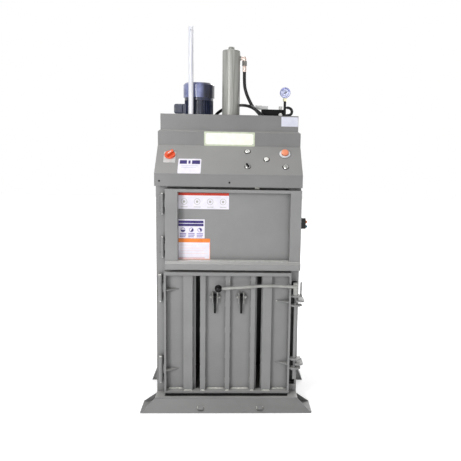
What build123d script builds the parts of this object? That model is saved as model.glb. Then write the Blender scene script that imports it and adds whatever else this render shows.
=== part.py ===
from build123d import *
import os
from math import atan2, cos, degrees, hypot, pi, radians, sin, sqrt, tan

os.makedirs("parts", exist_ok=True)

# A vertical recycling baler: a welded press frame with a feed door above a bale door,
# a hydraulic ram through the head plate, and the power pack behind a sloped control hood.
# X to the right seen from the front, Y to the back, Z up, origin on the floor in the middle
# of the footprint. All sizes in millimetres. Setbacks count from the front face of the posts,
# insets from the side of the body or the edge that they lie beside.

# Overall sizes
body_width = 776
body_depth = 455
foot_reach = 165
foot_overhang = 71
rear_foot_reach = 10
half_body = body_width / 2
half_foot = half_body + foot_overhang
front_y = foot_reach - (foot_reach + body_depth + rear_foot_reach) / 2
back_y = front_y + body_depth

# Clearances and common stock
fit_gap = 0.3
shaft_clearance = 0.06
slide_clearance = 2
door_gap = 5
plate = 6
sheet = 4

# Base and feet
base_top = 60
base_plate_bottom = base_top - plate
ledge_depth = 95
rail_width = 60
rail_inset = 8
rail_wall = 5
apron_setback = 10
foot_gap = 10
rear_foot_length = 147
rear_foot_start = body_depth + rear_foot_reach - rear_foot_length
rear_foot_height = 176
lashing_tab_width = 30
lashing_tab_centres = (-138.5, 180)
lashing_tab_height = 20
lashing_tab_bar = 5
lashing_tab_drop = 62

# Posts, walls and beams
post_width = 60
post_depth = 60
rear_post_depth = 50
post_wall = 4
head_bottom = 1240
head_thickness = 22
head_top = head_bottom + head_thickness
inner_half = half_body - post_width - sheet
wall_depth = body_depth - rear_post_depth
recess_width = 31
recess_inset = 11
recess_bottom = 100
recess_top = 690
floor_thickness = 10
wall_channel_depth = 52
wall_channel_height = 50
back_channel_depth = 40
side_channel_count = 6
side_channel_low = 60
side_channel_high = 70
back_channel_count = 5
back_channel_low = 100
back_channel_high = 60
sill_bottom = 738
sill_height = 34
sill_top = sill_bottom + sill_height
header_height = 45
header_bottom = head_bottom - header_height
beam_thickness = 10

# Hood: the sloped control panel, the fascia above it and the narrower top tier
hood_sheet = 2.5
hood_drop = 36
hood_bottom = head_bottom - hood_drop
hood_reach = 67
band_height = 66
band_top = hood_bottom + band_height
panel_top_y = 100
panel_rise = 147
panel_top_z = band_top + panel_rise
fascia_height = 73
fascia_top = panel_top_z + fascia_height
tier_setback = 15
tier_side_inset = 13
shelf_rise = 10
tier_bottom = fascia_top + shelf_rise
tier_height = 85
panel_run = panel_top_y + hood_reach
panel_slope = degrees(atan2(panel_rise, panel_run))

# Controls on the panel: place across, and distance down the slope from its top edge
main_switch_inset = 72
start_inset = 290
white_button_inset = 189
e_stop_inset = 88
main_switch_at = (main_switch_inset - half_body, 85)
start_button_at = (half_body - start_inset, 43)
selector_at = (half_body - start_inset, 161)
white_button_at = (half_body - white_button_inset, 103)
e_stop_at = (half_body - e_stop_inset, 60)
key_switch_at = (half_body - e_stop_inset, 160)
round_controls = (start_button_at, selector_at, white_button_at, key_switch_at)
switch_plate_width = 64
switch_plate_length = 84
switch_plate_drop = 14
switch_plate_corner = 4
switch_plate_thickness = 3
switch_disc_radius = 28.5
switch_disc_thickness = 9
switch_disc_round = 3
switch_grip_width = 15
switch_grip_height = 14
switch_grip_inset = 2
switch_grip_turn = 48
switch_shaft_radius = 5
bezel_radius = 15
bezel_bore = 11
bezel_height = 5
bezel_bevel = 1.5
bezel_body_length = 26
panel_hole = 12.5
e_stop_ring_radius = 30
e_stop_ring_height = 6
e_stop_cap_radius = 20
e_stop_cap_height = 11
e_stop_cap_round = 6
button_travel = 4
button_proud = 2
control_edge_round = 1
selector_lever_width = 8
selector_lever_length = 26
selector_lever_height = 10
selector_turn = 35
key_bow_width = 6
key_bow_length = 20
key_bow_height = 9

# Platen, press cylinder and rod
platen_side_gap = 9
platen_back_gap = 7
platen_half_width = inner_half - platen_side_gap
platen_front = beam_thickness + slide_clearance
platen_back = wall_depth - platen_back_gap
platen_plate = 12
platen_height = 50
platen_rim = 10
platen_bottom = head_bottom - door_gap - platen_height
boss_radius = 48
ram_x = 4.5
ram_y = front_y + (platen_front + platen_back) / 2
tube_radius = 49
tube_bore = 40
tube_length = 675
tube_top = head_top + tube_length
tube_cap = 22
tube_edge_round = 7
nub_radius = 17
nub_height = 19
port_drop = 41
port_z = tube_top - port_drop
port_reach = 4
lower_port_rise = 68
lower_port_z = head_top + lower_port_rise
flange_radius = 82
flange_height = 24
flange_bevel = 2
flange_screw_circle_radius = 66
flange_screw_count = 8
flange_screw_size = 9
gland_radius = 34
gland_head_radius = 40
ram_rod_radius = 22.5
piston_height = 34
piston_gap = 10
guide_bush_radius = 20
guide_bush_flange = 27
guide_bush_height = 14
indicator_x = -212
indicator_setback = 136
indicator_y = front_y + indicator_setback
indicator_radius = 13.5
indicator_wall = 2.5
indicator_rise = 783
indicator_top = head_top + indicator_rise
indicator_hole = 4
indicator_hole_drop = 20

# Power pack: tank, motor, valve block
tank_inset = 23
tank_width = 285
tank_height = 218
tank_back_inset = 55
tank_left = tank_inset - half_body
tank_right = tank_left + tank_width
tank_front = indicator_setback + guide_bush_flange + slide_clearance
tank_back = body_depth - tank_back_inset
tank_top = head_top + tank_height
tank_wall = 4
tank_lid = 6
tank_corner = 18
motor_inset = 95
motor_setback = 245
motor_x = tank_right - motor_inset
motor_y = front_y + motor_setback
motor_fin_radius = 80
motor_core_radius = 66
motor_flange_radius = 76
motor_flange_height = 16
motor_height = 199
motor_top = tank_top + motor_height
fin_count = 30
fin_thickness = 3
fin_root = 2
fin_rise = 32
end_shield_height = 15
fin_bottom = tank_top + fin_rise
fin_top = motor_top - end_shield_height
cowl_radius = 86.5
cowl_sheet = 1.5
cowl_height = 81
cowl_top = motor_top + cowl_height
cowl_bevel = 11
cowl_slot_count = 12
cowl_slot_width = 6
fan_radius = 68
fan_hub_radius = 18
fan_blade_count = 8
fan_shaft_radius = 8
fan_shaft_gap = 1
fan_rise = 21
fan_bottom = motor_top + fan_rise
fan_height = 30
terminal_reach = 137
terminal_width = 50
terminal_rise = 111
terminal_height = 54
terminal_depth = 66
terminal_round = 12
terminal_edge_round = 6
terminal_left = motor_x - terminal_reach
terminal_right = terminal_left + terminal_width
terminal_bottom = tank_top + terminal_rise
terminal_top = terminal_bottom + terminal_height
pump_radius = 42
pump_length = 120
suction_pipe_radius = 14
suction_gap = 12
filler_radius = 24
filler_height = 30
filler_inset = 40
filler_back_inset = 35
filler_grip_count = 12
filler_grip_radius = 2
block_inset = 80
block_width = 133
block_height = 82
block_rise = 278
block_right = half_body - block_inset
block_left = block_right - block_width
block_bottom = head_top + block_rise
block_top = block_bottom + block_height
block_front = 175
block_back = 255
block_bevel = 3
bracket_thickness = 8
bracket_foot = 60
solenoid_height = 23
solenoid_body_length = 36
solenoid_body_width = 40
solenoid_shoulder = 4
solenoid_plug_width = 28
solenoid_plug_length = 33
solenoid_plug_round = 3
block_plug_height = 20
block_plug_inset = 25
front_plug_inset = 29
front_plug_drop = 29

# Pressure gauge
gauge_setback = 150
gauge_y = front_y + gauge_setback
gauge_rise = 89
gauge_z = block_top + gauge_rise
gauge_radius = 29
gauge_thickness = 24
gauge_back_round = 4
gauge_rim = 2.5
gauge_face_depth = 6
glass_setback = 0.5
glass_thickness = 1.5
needle_length = 18
needle_tail = 11
needle_width = 2.4
needle_hub_radius = 3
needle_shaft_radius = 1
needle_thickness = 1
needle_gap = 1
needle_angle = 217
stem_radius = 7
stem_drop = 36
stem_rise = 43
stem_port_drop = 17
stem_nut_radius = 9
loop_rise = 9
loop_height = 40
loop_start = 12
loop_end = 14
loop_stub_radius = 5.5

# Hoses and their fittings
hose_radius = 9
gauge_hose_radius = 7.5
ferrule_radius = 10.5
ferrule_length = 9
long_ferrule_length = 32
nut_radius = 13
nut_length = 26
elbow_reach = 20
elbow_round = 11
head_hose_drop = 113
ferrule_gap = 3

# Feed door: a tray of folded sheet with deep flanges
feed_left_inset = 55
feed_right_inset = 2
feed_left = feed_left_inset - half_body
feed_right = half_body - feed_right_inset
feed_overlap = 7
feed_bottom = sill_top - feed_overlap
feed_top = header_bottom - door_gap
feed_front = -70
feed_back = -3
feed_sheet = 3
feed_left_flange = 66
feed_right_flange = 59
feed_top_flange = 16
feed_bar_height = 43
feed_bar_top = feed_bottom + feed_bar_height
feed_bar_front = -88
feed_bar_bevel = 12
feed_panel_front = -12

# Bale door: flanged frame, three plate strips with strap slots between, box ribs
bale_inset = 45
bale_left = bale_inset - half_body
bale_right = half_body - bale_inset
bale_bottom = base_top + plate
bale_overlap = 7
bale_top = sill_bottom + bale_overlap
bale_front = -52
bale_back = -2
bale_flange = 11
bale_top_flange = 19
panel_front = -6
slot_width = 24
left_slot_inset = 181
right_slot_inset = 171
slot_centres = (bale_left + left_slot_inset, bale_right - right_slot_inset)
outer_rib_inset = 103
outer_rib_width = 50
left_rib_inset = 194
left_rib_width = 29
right_rib_inset = 193
right_rib_width = 25
middle_rib = (-12, 13)
rib_spans = (
    (bale_left + outer_rib_inset, bale_left + outer_rib_inset + outer_rib_width),
    (bale_left + left_rib_inset, bale_left + left_rib_inset + left_rib_width),
    middle_rib,
    (bale_right - right_rib_inset - right_rib_width, bale_right - right_rib_inset),
    (bale_right - outer_rib_inset - outer_rib_width, bale_right - outer_rib_inset),
)
rib_front = -34
gusset_low_left = 124
gusset_high_left = 105
gusset_low_right = 162
gusset_high_right = 166
gusset_length = 65
gusset_setback = 2

# Strap clamps on the bale door
clamp_shifts = (-3, 5)
clamp_drop = 139
clamp_pin_z = bale_top - clamp_drop
clamp_lever_width = 11
clamp_lever_length = 92
clamp_lever_depth = 12
clamp_lever_round = 3
cheek_offset = 13
cheek_thickness = 5
cheek_below = 36
cheek_above = 26
cheek_front = -38
clamp_pin_radius = 4
clamp_pin_half = 20
clamp_pin_depth = 27
clamp_head_radius = 17

# Hinges
hinge_y = front_y - 30
feed_hinge_inset = 38
feed_knuckle_radius = 10
feed_pin_radius = 4.5
feed_hinge_length = 105
feed_hinge_low = 60
feed_hinge_high = 28
bale_hinge_inset = 25
bale_knuckle_radius = 12
bale_pin_radius = 6
bale_hinge_length = 141
bale_hinge_low = 61
bale_hinge_high = 20
knuckle_gap = 0.5
leaf_thickness = 6
pin_head_lip = 2

# Lock: a half-cut shaft behind hook keepers, turned by the long handle
lock_inset = 19
lock_x = half_body - lock_inset
lock_setback = -45
lock_y = front_y + lock_setback
lock_radius = 9
lock_bottom = 149
lock_top = 690
keeper_levels = (592, 238)
lug_spacing = 26
lug_levels = [level + side * lug_spacing for level in keeper_levels for side in (1, -1)]
lug_thickness = 8
lug_overhang = 16
lug_right = half_body + lug_overhang
lug_front = -66
lug_back = -19
keeper_thickness = 10
keeper_gap = 3
keeper_overhang = 29
keeper_right = half_body + keeper_overhang
keeper_weld = 35
keeper_slope = 10
keeper_nose = 16
keeper_bevel = 12
lock_cut_angle = 45
cut_height = 26
collar_rim = 6
handle_setback = -66
handle_y = front_y + handle_setback
handle_radius = 8.5
handle_bend_radius = 60
handle_start = 4
handle_bends = ((116, 677), (186, 676), (304, 666))
handle_start_level = 671
handle_end_level = 660
socket_radius = 15
knob_x = -50
knob_radius = 20.5
knob_flat = 17
knob_mouth = sqrt(knob_radius**2 - knob_flat**2)
stay_pin_radius = 5
stay_pin_x = lug_right - stay_pin_radius
stay_pin_setback = lug_back - stay_pin_radius - 1
stay_pin_top = 691

# Door interlock switch on the right post
interlock_rise = 217
interlock_height = 57
interlock_depth = 34
interlock_setback = -3
interlock_reach = 27
interlock_round = 3


def write(part, label):
    part.label = label
    export_step(part, f"parts/{label}.step")


def depth(behind):
    """Y of a point so far behind the front face of the posts."""
    return front_y + behind


# Base frame: top plate on two box rails with a cross member between
with BuildPart() as base_frame:
    with BuildSketch(Plane.XY.offset(base_plate_bottom)):
        with Locations((0, (depth(-ledge_depth) + back_y) / 2)):
            Rectangle(body_width, body_depth + ledge_depth)
    extrude(amount=plate)
    rail_x = half_body - rail_inset - rail_width / 2
    with BuildSketch(Plane.XZ.offset(-depth(-foot_gap))):
        with Locations((rail_x, base_plate_bottom / 2), (-rail_x, base_plate_bottom / 2)):
            Rectangle(rail_width, base_plate_bottom)
            Rectangle(rail_width - 2 * rail_wall, base_plate_bottom - 2 * rail_wall, mode=Mode.SUBTRACT)
    extrude(amount=-(rear_foot_start + foot_gap))
    with BuildSketch(Plane.XY.offset(base_plate_bottom - rail_width / 2)):
        with Locations((0, depth(rear_foot_start / 2))):
            Rectangle(2 * rail_x - rail_width, rail_width)
    extrude(amount=rail_width / 2)
write(base_frame.part, "base_frame")

# Front foot: sloped apron, floor plate and a standing gusset at each end
with BuildPart() as front_foot:
    with BuildSketch(Plane.XY):
        with Locations((0, depth(-foot_reach))):
            Rectangle(2 * half_foot, apron_setback, align=(Align.CENTER, Align.MIN))
    with BuildSketch(Plane.XY.offset(base_plate_bottom)):
        with Locations((0, depth(-ledge_depth))):
            Rectangle(body_width, apron_setback, align=(Align.CENTER, Align.MIN))
    loft()
    with BuildSketch(Plane.XY):
        with Locations((0, depth(-foot_gap))):
            Rectangle(2 * half_foot, foot_reach - foot_gap - apron_setback, align=(Align.CENTER, Align.MAX))
    extrude(amount=plate)
    with BuildSketch(Plane.XZ.offset(-depth(-foot_gap - plate))):
        with BuildLine():
            Polyline(
                (half_body - rail_inset, plate),
                (half_foot, plate),
                (half_body, base_plate_bottom),
                (half_body - rail_inset, base_plate_bottom),
                close=True,
            )
        make_face()
        mirror(about=Plane.YZ)
    extrude(amount=-plate)
    apron_angle = degrees(atan2(base_plate_bottom, foot_reach - ledge_depth))
    apron = Plane(
        origin=(0, depth(-foot_reach), 0),
        x_dir=(1, 0, 0),
        z_dir=(0, -sin(radians(apron_angle)), cos(radians(apron_angle))),
    )
    apron_length = hypot(base_plate_bottom, foot_reach - ledge_depth)
    with BuildSketch(apron):
        with Locations(*[(x, apron_length - lashing_tab_drop) for x in lashing_tab_centres]):
            Rectangle(lashing_tab_width, lashing_tab_height)
    extrude(amount=lashing_tab_height / 2)
    with BuildSketch(apron):
        with Locations(*[(x, apron_length - lashing_tab_drop) for x in lashing_tab_centres]):
            Rectangle(lashing_tab_width - 2 * lashing_tab_bar, lashing_tab_height + 1)
    extrude(amount=lashing_tab_height / 2 - lashing_tab_bar, mode=Mode.SUBTRACT)
write(front_foot.part, "front_foot")

# Rear feet: a slanted side plate, floor plate and two upright gussets on each side
with BuildPart() as rear_feet:
    foot_length = body_depth + rear_foot_reach - rear_foot_start
    foot_plane = Plane.XZ.offset(-depth(rear_foot_start))
    slant = plate * hypot(rear_foot_height, half_foot - half_body) / rear_foot_height
    with BuildSketch(foot_plane):
        with BuildLine():
            Polyline(
                (half_body, rear_foot_height),
                (half_foot, 0),
                (half_foot - slant, 0),
                (half_body, rear_foot_height - slant * rear_foot_height / (half_foot - half_body)),
                close=True,
            )
        make_face()
        with Locations((half_body, 0)):
            Rectangle(half_foot - half_body - slant, plate, align=(Align.MIN, Align.MIN))
            Rectangle(plate, rear_foot_height - 3 * plate, align=(Align.MIN, Align.MIN))
    extrude(amount=-foot_length)
    for inset in (plate, foot_length - 2 * plate):
        with BuildSketch(Plane.XZ.offset(-depth(rear_foot_start + inset))):
            with BuildLine():
                Polyline(
                    (half_body, 0),
                    (half_foot - slant / 2, 0),
                    (half_body, rear_foot_height - slant * 2),
                    close=True,
                )
            make_face()
        extrude(amount=-plate)
    mirror(about=Plane.YZ)
write(rear_feet.part, "rear_feet")

# Posts: tubes at the four corners, the right front one with a long recess in its front face
post_x = half_body - post_width / 2
with BuildPart() as posts:
    for post_y, size in (
        (depth(post_depth / 2), post_depth),
        (back_y - rear_post_depth / 2, rear_post_depth),
    ):
        with BuildSketch(Plane.XY.offset(base_top)):
            with Locations((-post_x, post_y), (post_x, post_y)):
                Rectangle(post_width, size)
                Rectangle(post_width - 2 * post_wall, size - 2 * post_wall, mode=Mode.SUBTRACT)
        extrude(amount=head_bottom - base_top)
    with BuildSketch(Plane.XZ.offset(-front_y)):
        with Locations((half_body - recess_inset - recess_width / 2, (recess_bottom + recess_top) / 2)):
            Rectangle(recess_width, recess_top - recess_bottom)
    extrude(amount=-post_wall, mode=Mode.SUBTRACT)
write(posts.part, "posts")



def even_levels(count, low, high):
    """Heights of so many evenly spaced channels between the base and the head."""
    first = base_top + low
    pitch = (head_bottom - high - first) / (count - 1)
    return [first + pitch * i for i in range(count)]


# Side walls: sheet inside the posts, stiffened outside by folded channels between the posts
with BuildPart() as side_walls:
    with BuildSketch(Plane.XY.offset(base_top)):
        with Locations((inner_half + sheet / 2, depth(wall_depth / 2))):
            Rectangle(sheet, wall_depth)
    extrude(amount=head_bottom - base_top)
    channel_x = inner_half + sheet
    with BuildSketch(Plane.XZ.offset(-depth(post_depth))):
        for level in even_levels(side_channel_count, side_channel_low, side_channel_high):
            with Locations((channel_x, level)):
                Rectangle(wall_channel_depth, wall_channel_height, align=(Align.MIN, Align.CENTER))
            with Locations((channel_x, level)):
                Rectangle(
                    wall_channel_depth - sheet,
                    wall_channel_height - 2 * sheet,
                    align=(Align.MIN, Align.CENTER),
                    mode=Mode.SUBTRACT,
                )
    extrude(amount=-(wall_depth - post_depth))
    mirror(about=Plane.YZ)
write(side_walls.part, "side_walls")

# Back wall: one sheet between the side walls
with BuildPart() as back_wall:
    with BuildSketch(Plane.XY.offset(base_top)):
        with Locations((0, depth(wall_depth))):
            Rectangle(2 * inner_half, sheet, align=(Align.CENTER, Align.MIN))
    extrude(amount=head_bottom - base_top)
write(back_wall.part, "back_wall")

# Channels across the back of the wall, welded between the rear posts
with BuildPart() as back_channels:
    with BuildSketch(Plane.YZ.offset(-(half_body - post_width))):
        for level in even_levels(back_channel_count, back_channel_low, back_channel_high):
            with Locations((depth(wall_depth) + sheet, level)):
                Rectangle(back_channel_depth, wall_channel_height, align=(Align.MIN, Align.CENTER))
                Rectangle(
                    back_channel_depth - sheet,
                    wall_channel_height - 2 * sheet,
                    align=(Align.MIN, Align.CENTER),
                    mode=Mode.SUBTRACT,
                )
    extrude(amount=2 * (half_body - post_width))
write(back_channels.part, "back_channels")

# Chamber floor: plate strips with the strap grooves between
strip_edges = [-inner_half, inner_half]
for centre in slot_centres:
    strip_edges += [centre - slot_width / 2, centre + slot_width / 2]
strip_edges.sort()
floor_strips = list(zip(strip_edges[0::2], strip_edges[1::2]))
with BuildPart() as chamber_floor:
    with BuildSketch(Plane.XY.offset(base_top)):
        for left, right in floor_strips:
            with Locations((left, depth(0))):
                Rectangle(right - left, wall_depth, align=(Align.MIN, Align.MIN))
    extrude(amount=floor_thickness)
write(chamber_floor.part, "chamber_floor")

# Header above the feed door and sill between the two doors
with BuildPart() as cross_beams:
    for bottom, top in ((header_bottom, head_bottom), (sill_bottom, sill_top)):
        with BuildSketch(Plane.XY.offset(bottom)):
            with Locations((0, depth(0))):
                Rectangle(2 * inner_half, beam_thickness, align=(Align.CENTER, Align.MIN))
        extrude(amount=top - bottom)
write(cross_beams.part, "cross_beams")

# Head plate that takes the press force, bored for the gland and the indicator's guide bush
with BuildPart() as head_plate:
    with BuildSketch(Plane.XY.offset(head_bottom)):
        with Locations((0, depth(body_depth / 2))):
            Rectangle(body_width, body_depth)
        with Locations((ram_x, ram_y)):
            Circle(gland_radius + fit_gap, mode=Mode.SUBTRACT)
        with Locations((indicator_x, indicator_y)):
            Circle(guide_bush_radius + fit_gap, mode=Mode.SUBTRACT)
    extrude(amount=head_thickness)
write(head_plate.part, "head_plate")


def hood_form(inset):
    """The hood's outer form, or the same form drawn in by the sheet and let out behind and above."""
    drop = inset / cos(radians(panel_slope)) - inset * tan(radians(panel_slope))
    side = half_body - inset
    tier_side = half_body - tier_side_inset - inset
    back = back_y + inset
    shelf_front = depth(panel_top_y) + inset
    tier_front = shelf_front + tier_setback
    with BuildPart() as form:
        with BuildSketch(Plane.YZ.offset(-side)):
            with BuildLine():
                Polyline(
                    (depth(-hood_reach) + inset, hood_bottom - inset),
                    (depth(-hood_reach) + inset, band_top - drop),
                    (shelf_front, panel_top_z - drop),
                    (shelf_front, fascia_top),
                    (back, fascia_top),
                    (back, head_top - inset),
                    (depth(0), head_top - inset),
                    (depth(0), hood_bottom - inset),
                    close=True,
                )
            make_face()
        extrude(amount=2 * side)
        with BuildSketch(Plane.XY.offset(fascia_top)) as shelf_low:
            with Locations((0, shelf_front)):
                Rectangle(2 * side, back - shelf_front, align=(Align.CENTER, Align.MIN))
        with BuildSketch(Plane.XY.offset(tier_bottom)) as shelf_high:
            with Locations((0, tier_front)):
                Rectangle(2 * tier_side, back - tier_front, align=(Align.CENTER, Align.MIN))
        loft(sections=[shelf_low.sketch, shelf_high.sketch])
        extrude(shelf_high.sketch, amount=tier_height + inset)
    return form.part


# Hood: its outer form less the drawn-in one, open below, behind and on top
with BuildPart() as hood_cover:
    add(hood_form(0))
    add(hood_form(hood_sheet), mode=Mode.SUBTRACT)
    panel = Plane(
        origin=(0, depth(panel_top_y), panel_top_z),
        x_dir=(1, 0, 0),
        z_dir=(0, -sin(radians(panel_slope)), cos(radians(panel_slope))),
    )
    with BuildSketch(panel):
        for x, down in (main_switch_at, e_stop_at, *round_controls):
            with Locations((x, -down)):
                Circle(panel_hole)
    extrude(amount=-2 * hood_sheet, mode=Mode.SUBTRACT)
write(hood_cover.part, "hood_cover")

# Cylinder tube with a rounded head, a plug on top and two port bosses
with BuildPart() as cylinder_tube:
    with BuildSketch(Plane.XY.offset(head_top)):
        with Locations((ram_x, ram_y)):
            Circle(tube_radius)
    extrude(amount=tube_top - head_top)
    fillet(cylinder_tube.faces().sort_by(Axis.Z)[-1].edges(), radius=tube_edge_round)
    with BuildSketch(Plane.XY.offset(tube_top)):
        with Locations((ram_x, ram_y)):
            Circle(nub_radius)
    extrude(amount=nub_height)
    fillet(cylinder_tube.faces().sort_by(Axis.Z)[-1].edges(), radius=tube_edge_round)
    with BuildSketch(Plane.YZ.offset(ram_x)):
        with Locations((ram_y, port_z), (ram_y, lower_port_z)):
            Circle(nut_radius)
    extrude(amount=tube_radius + port_reach)
    with BuildSketch(Plane.XY.offset(head_top)):
        with Locations((ram_x, ram_y)):
            Circle(tube_bore)
    extrude(amount=tube_top - tube_cap - head_top, mode=Mode.SUBTRACT)
write(cylinder_tube.part, "cylinder_tube")

# Mounting flange round the foot of the cylinder, with its ring of screw heads
with BuildPart() as cylinder_flange:
    with BuildSketch(Plane.XY.offset(head_top)):
        with Locations((ram_x, ram_y)):
            Circle(flange_radius)
            Circle(tube_radius + fit_gap, mode=Mode.SUBTRACT)
    extrude(amount=flange_height)
    chamfer(cylinder_flange.faces().sort_by(Axis.Z)[-1].outer_wire().edges(), length=flange_bevel)
    with BuildSketch(Plane.XY.offset(head_top + flange_height)):
        with Locations((ram_x, ram_y)):
            with PolarLocations(flange_screw_circle_radius, flange_screw_count):
                RegularPolygon(flange_screw_size, 6)
    extrude(amount=flange_screw_size)
write(cylinder_flange.part, "cylinder_flange")

# Rod gland in the head plate, and the guide bush for the indicator rod
with BuildPart() as head_bushes:
    with BuildSketch(Plane.XY.offset(head_bottom)):
        with Locations((ram_x, ram_y)):
            Circle(gland_radius)
    extrude(amount=head_thickness)
    with BuildSketch(Plane.XY.offset(head_top)):
        with Locations((ram_x, ram_y)):
            Circle(gland_head_radius - fit_gap)
    extrude(amount=gland_head_radius)
    with Locations((ram_x, ram_y, head_bottom)):
        Hole(ram_rod_radius + shaft_clearance)
    with BuildSketch(Plane.XY.offset(head_bottom)):
        with Locations((indicator_x, indicator_y)):
            Circle(guide_bush_radius)
    extrude(amount=head_thickness)
    with BuildSketch(Plane.XY.offset(head_top)):
        with Locations((indicator_x, indicator_y)):
            Circle(guide_bush_flange)
    extrude(amount=guide_bush_height)
    with Locations((indicator_x, indicator_y, head_bottom)):
        Hole(indicator_radius + shaft_clearance)
write(head_bushes.part, "head_bushes")

# Ram rod with its piston
platen_top = platen_bottom + platen_height
rod_seat = platen_bottom + platen_plate
piston_top = tube_top - tube_cap - piston_gap
with BuildPart() as ram_rod:
    with BuildSketch(Plane.XY.offset(platen_top)):
        with Locations((ram_x, ram_y)):
            Circle(ram_rod_radius)
    extrude(amount=piston_top - platen_top)
    with BuildSketch(Plane.XY.offset(piston_top - piston_height)):
        with Locations((ram_x, ram_y)):
            Circle(tube_bore - shaft_clearance)
    extrude(amount=piston_height)
write(ram_rod.part, "ram_rod")

# Platen: pressing plate with a rim, cross ribs and the rod's boss
with BuildPart() as platen:
    platen_depth = platen_back - platen_front
    platen_y = depth((platen_front + platen_back) / 2)
    with BuildSketch(Plane.XY.offset(platen_bottom)):
        with Locations((0, platen_y)):
            Rectangle(2 * platen_half_width, platen_depth)
    extrude(amount=platen_plate)
    with BuildSketch(Plane.XY.offset(rod_seat)):
        with Locations((0, platen_y)):
            Rectangle(2 * platen_half_width, platen_depth)
            Rectangle(
                2 * (platen_half_width - platen_rim),
                platen_depth - 2 * platen_rim,
                mode=Mode.SUBTRACT,
            )
            Rectangle(2 * platen_half_width, platen_rim)
        with Locations(*[(ram_x + side * 2 * boss_radius, platen_y) for side in (-1, 0, 1)]):
            Rectangle(platen_rim, platen_depth)
        with Locations((ram_x, ram_y)):
            Circle(boss_radius)
        with Locations((indicator_x, indicator_y)):
            Circle(guide_bush_radius)
            Circle(indicator_radius + fit_gap, mode=Mode.SUBTRACT)
    extrude(amount=platen_height - platen_plate)
    with BuildSketch(Plane.XY.offset(platen_bottom)):
        with Locations(*[(x, platen_y) for x in slot_centres]):
            Rectangle(slot_width, platen_depth)
    extrude(amount=platen_plate / 2, mode=Mode.SUBTRACT)
write(platen.part, "platen")

# Indicator rod: a white tube on the platen that shows the ram's position above the hood
with BuildPart() as indicator_rod:
    with BuildSketch(Plane.XY.offset(rod_seat)):
        with Locations((indicator_x, indicator_y)):
            Circle(indicator_radius)
            Circle(indicator_radius - indicator_wall, mode=Mode.SUBTRACT)
    extrude(amount=indicator_top - rod_seat)
    with BuildSketch(Plane.XZ.offset(-indicator_y)):
        with Locations((indicator_x, indicator_top - indicator_hole_drop)):
            Circle(indicator_hole)
    extrude(amount=2 * indicator_radius, both=True, mode=Mode.SUBTRACT)
write(indicator_rod.part, "indicator_rod")

# Oil tank: open box on the head plate, closed by its lid
tank_x = (tank_left + tank_right) / 2
tank_y = depth((tank_front + tank_back) / 2)
tank_depth = tank_back - tank_front
with BuildPart() as oil_tank:
    with BuildSketch(Plane.XY.offset(head_top)):
        with Locations((tank_x, tank_y)):
            RectangleRounded(tank_width, tank_depth, tank_corner)
    extrude(amount=tank_top - tank_lid - head_top)
    offset(amount=-tank_wall, openings=oil_tank.faces().sort_by(Axis.Z)[-1])
write(oil_tank.part, "oil_tank")

with BuildPart() as tank_cover:
    with BuildSketch(Plane.XY.offset(tank_top - tank_lid)):
        with Locations((tank_x, tank_y)):
            RectangleRounded(tank_width + tank_lid, tank_depth + tank_lid, tank_corner)
    extrude(amount=tank_lid)
write(tank_cover.part, "tank_cover")

# Gear pump under the tank's lid, with its suction pipe
with BuildPart() as gear_pump:
    with BuildSketch(Plane.XY.offset(tank_top - tank_lid - pump_length)):
        with Locations((motor_x, motor_y)):
            Circle(pump_radius)
    extrude(amount=pump_length)
    suction_mouth = head_top + tank_wall + suction_gap
    with BuildSketch(Plane.XY.offset(suction_mouth)):
        with Locations((motor_x, motor_y)):
            Circle(suction_pipe_radius)
    extrude(amount=tank_top - tank_lid - pump_length - suction_mouth)
write(gear_pump.part, "gear_pump")

filler_at = (tank_left + filler_inset, depth(tank_back - filler_back_inset))
with BuildPart() as filler_cap:
    with BuildSketch(Plane.XY.offset(tank_top)):
        with Locations(filler_at):
            Circle(filler_radius)
    extrude(amount=filler_height)
    with BuildSketch(Plane.XY.offset(tank_top)):
        with Locations(filler_at):
            with PolarLocations(filler_radius, filler_grip_count):
                Circle(filler_grip_radius)
    extrude(amount=filler_height, mode=Mode.SUBTRACT)
    fillet(filler_cap.faces().sort_by(Axis.Z)[-1].outer_wire().edges(), radius=filler_grip_radius / 2)
write(filler_cap.part, "filler_cap")

# Motor: foot flange, core with cooling fins all round and the end shield
with BuildPart() as motor_housing:
    with BuildSketch(Plane.XY.offset(tank_top)):
        with Locations((motor_x, motor_y)):
            Circle(motor_flange_radius)
    extrude(amount=motor_flange_height)
    with BuildSketch(Plane.XY.offset(tank_top)):
        with Locations((motor_x, motor_y)):
            Circle(motor_core_radius)
    extrude(amount=motor_top - tank_top)
    with BuildSketch(Plane.XY.offset(fin_bottom)):
        with Locations((motor_x, motor_y)):
            with PolarLocations(motor_core_radius - fin_root, fin_count, start_angle=180 / fin_count):
                Rectangle(
                    motor_fin_radius - motor_core_radius + fin_root,
                    fin_thickness,
                    align=(Align.MIN, Align.CENTER),
                )
    extrude(amount=fin_top - fin_bottom)
    with BuildSketch(Plane.XY.offset(terminal_bottom)):
        with Locations((terminal_right, motor_y)):
            Rectangle(
                motor_x - motor_core_radius / 2 - terminal_right,
                terminal_depth,
                align=(Align.MIN, Align.CENTER),
            )
    extrude(amount=terminal_top - terminal_bottom)
    with BuildSketch(Plane.XY.offset(fin_top)):
        with Locations((motor_x, motor_y)):
            Circle(motor_fin_radius)
    extrude(amount=motor_top - fin_top)
    with BuildSketch(Plane.XY.offset(motor_top)):
        with Locations((motor_x, motor_y)):
            Circle(fan_shaft_radius + shaft_clearance)
    extrude(amount=fin_top - motor_top, mode=Mode.SUBTRACT)
write(motor_housing.part, "motor_housing")

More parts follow.
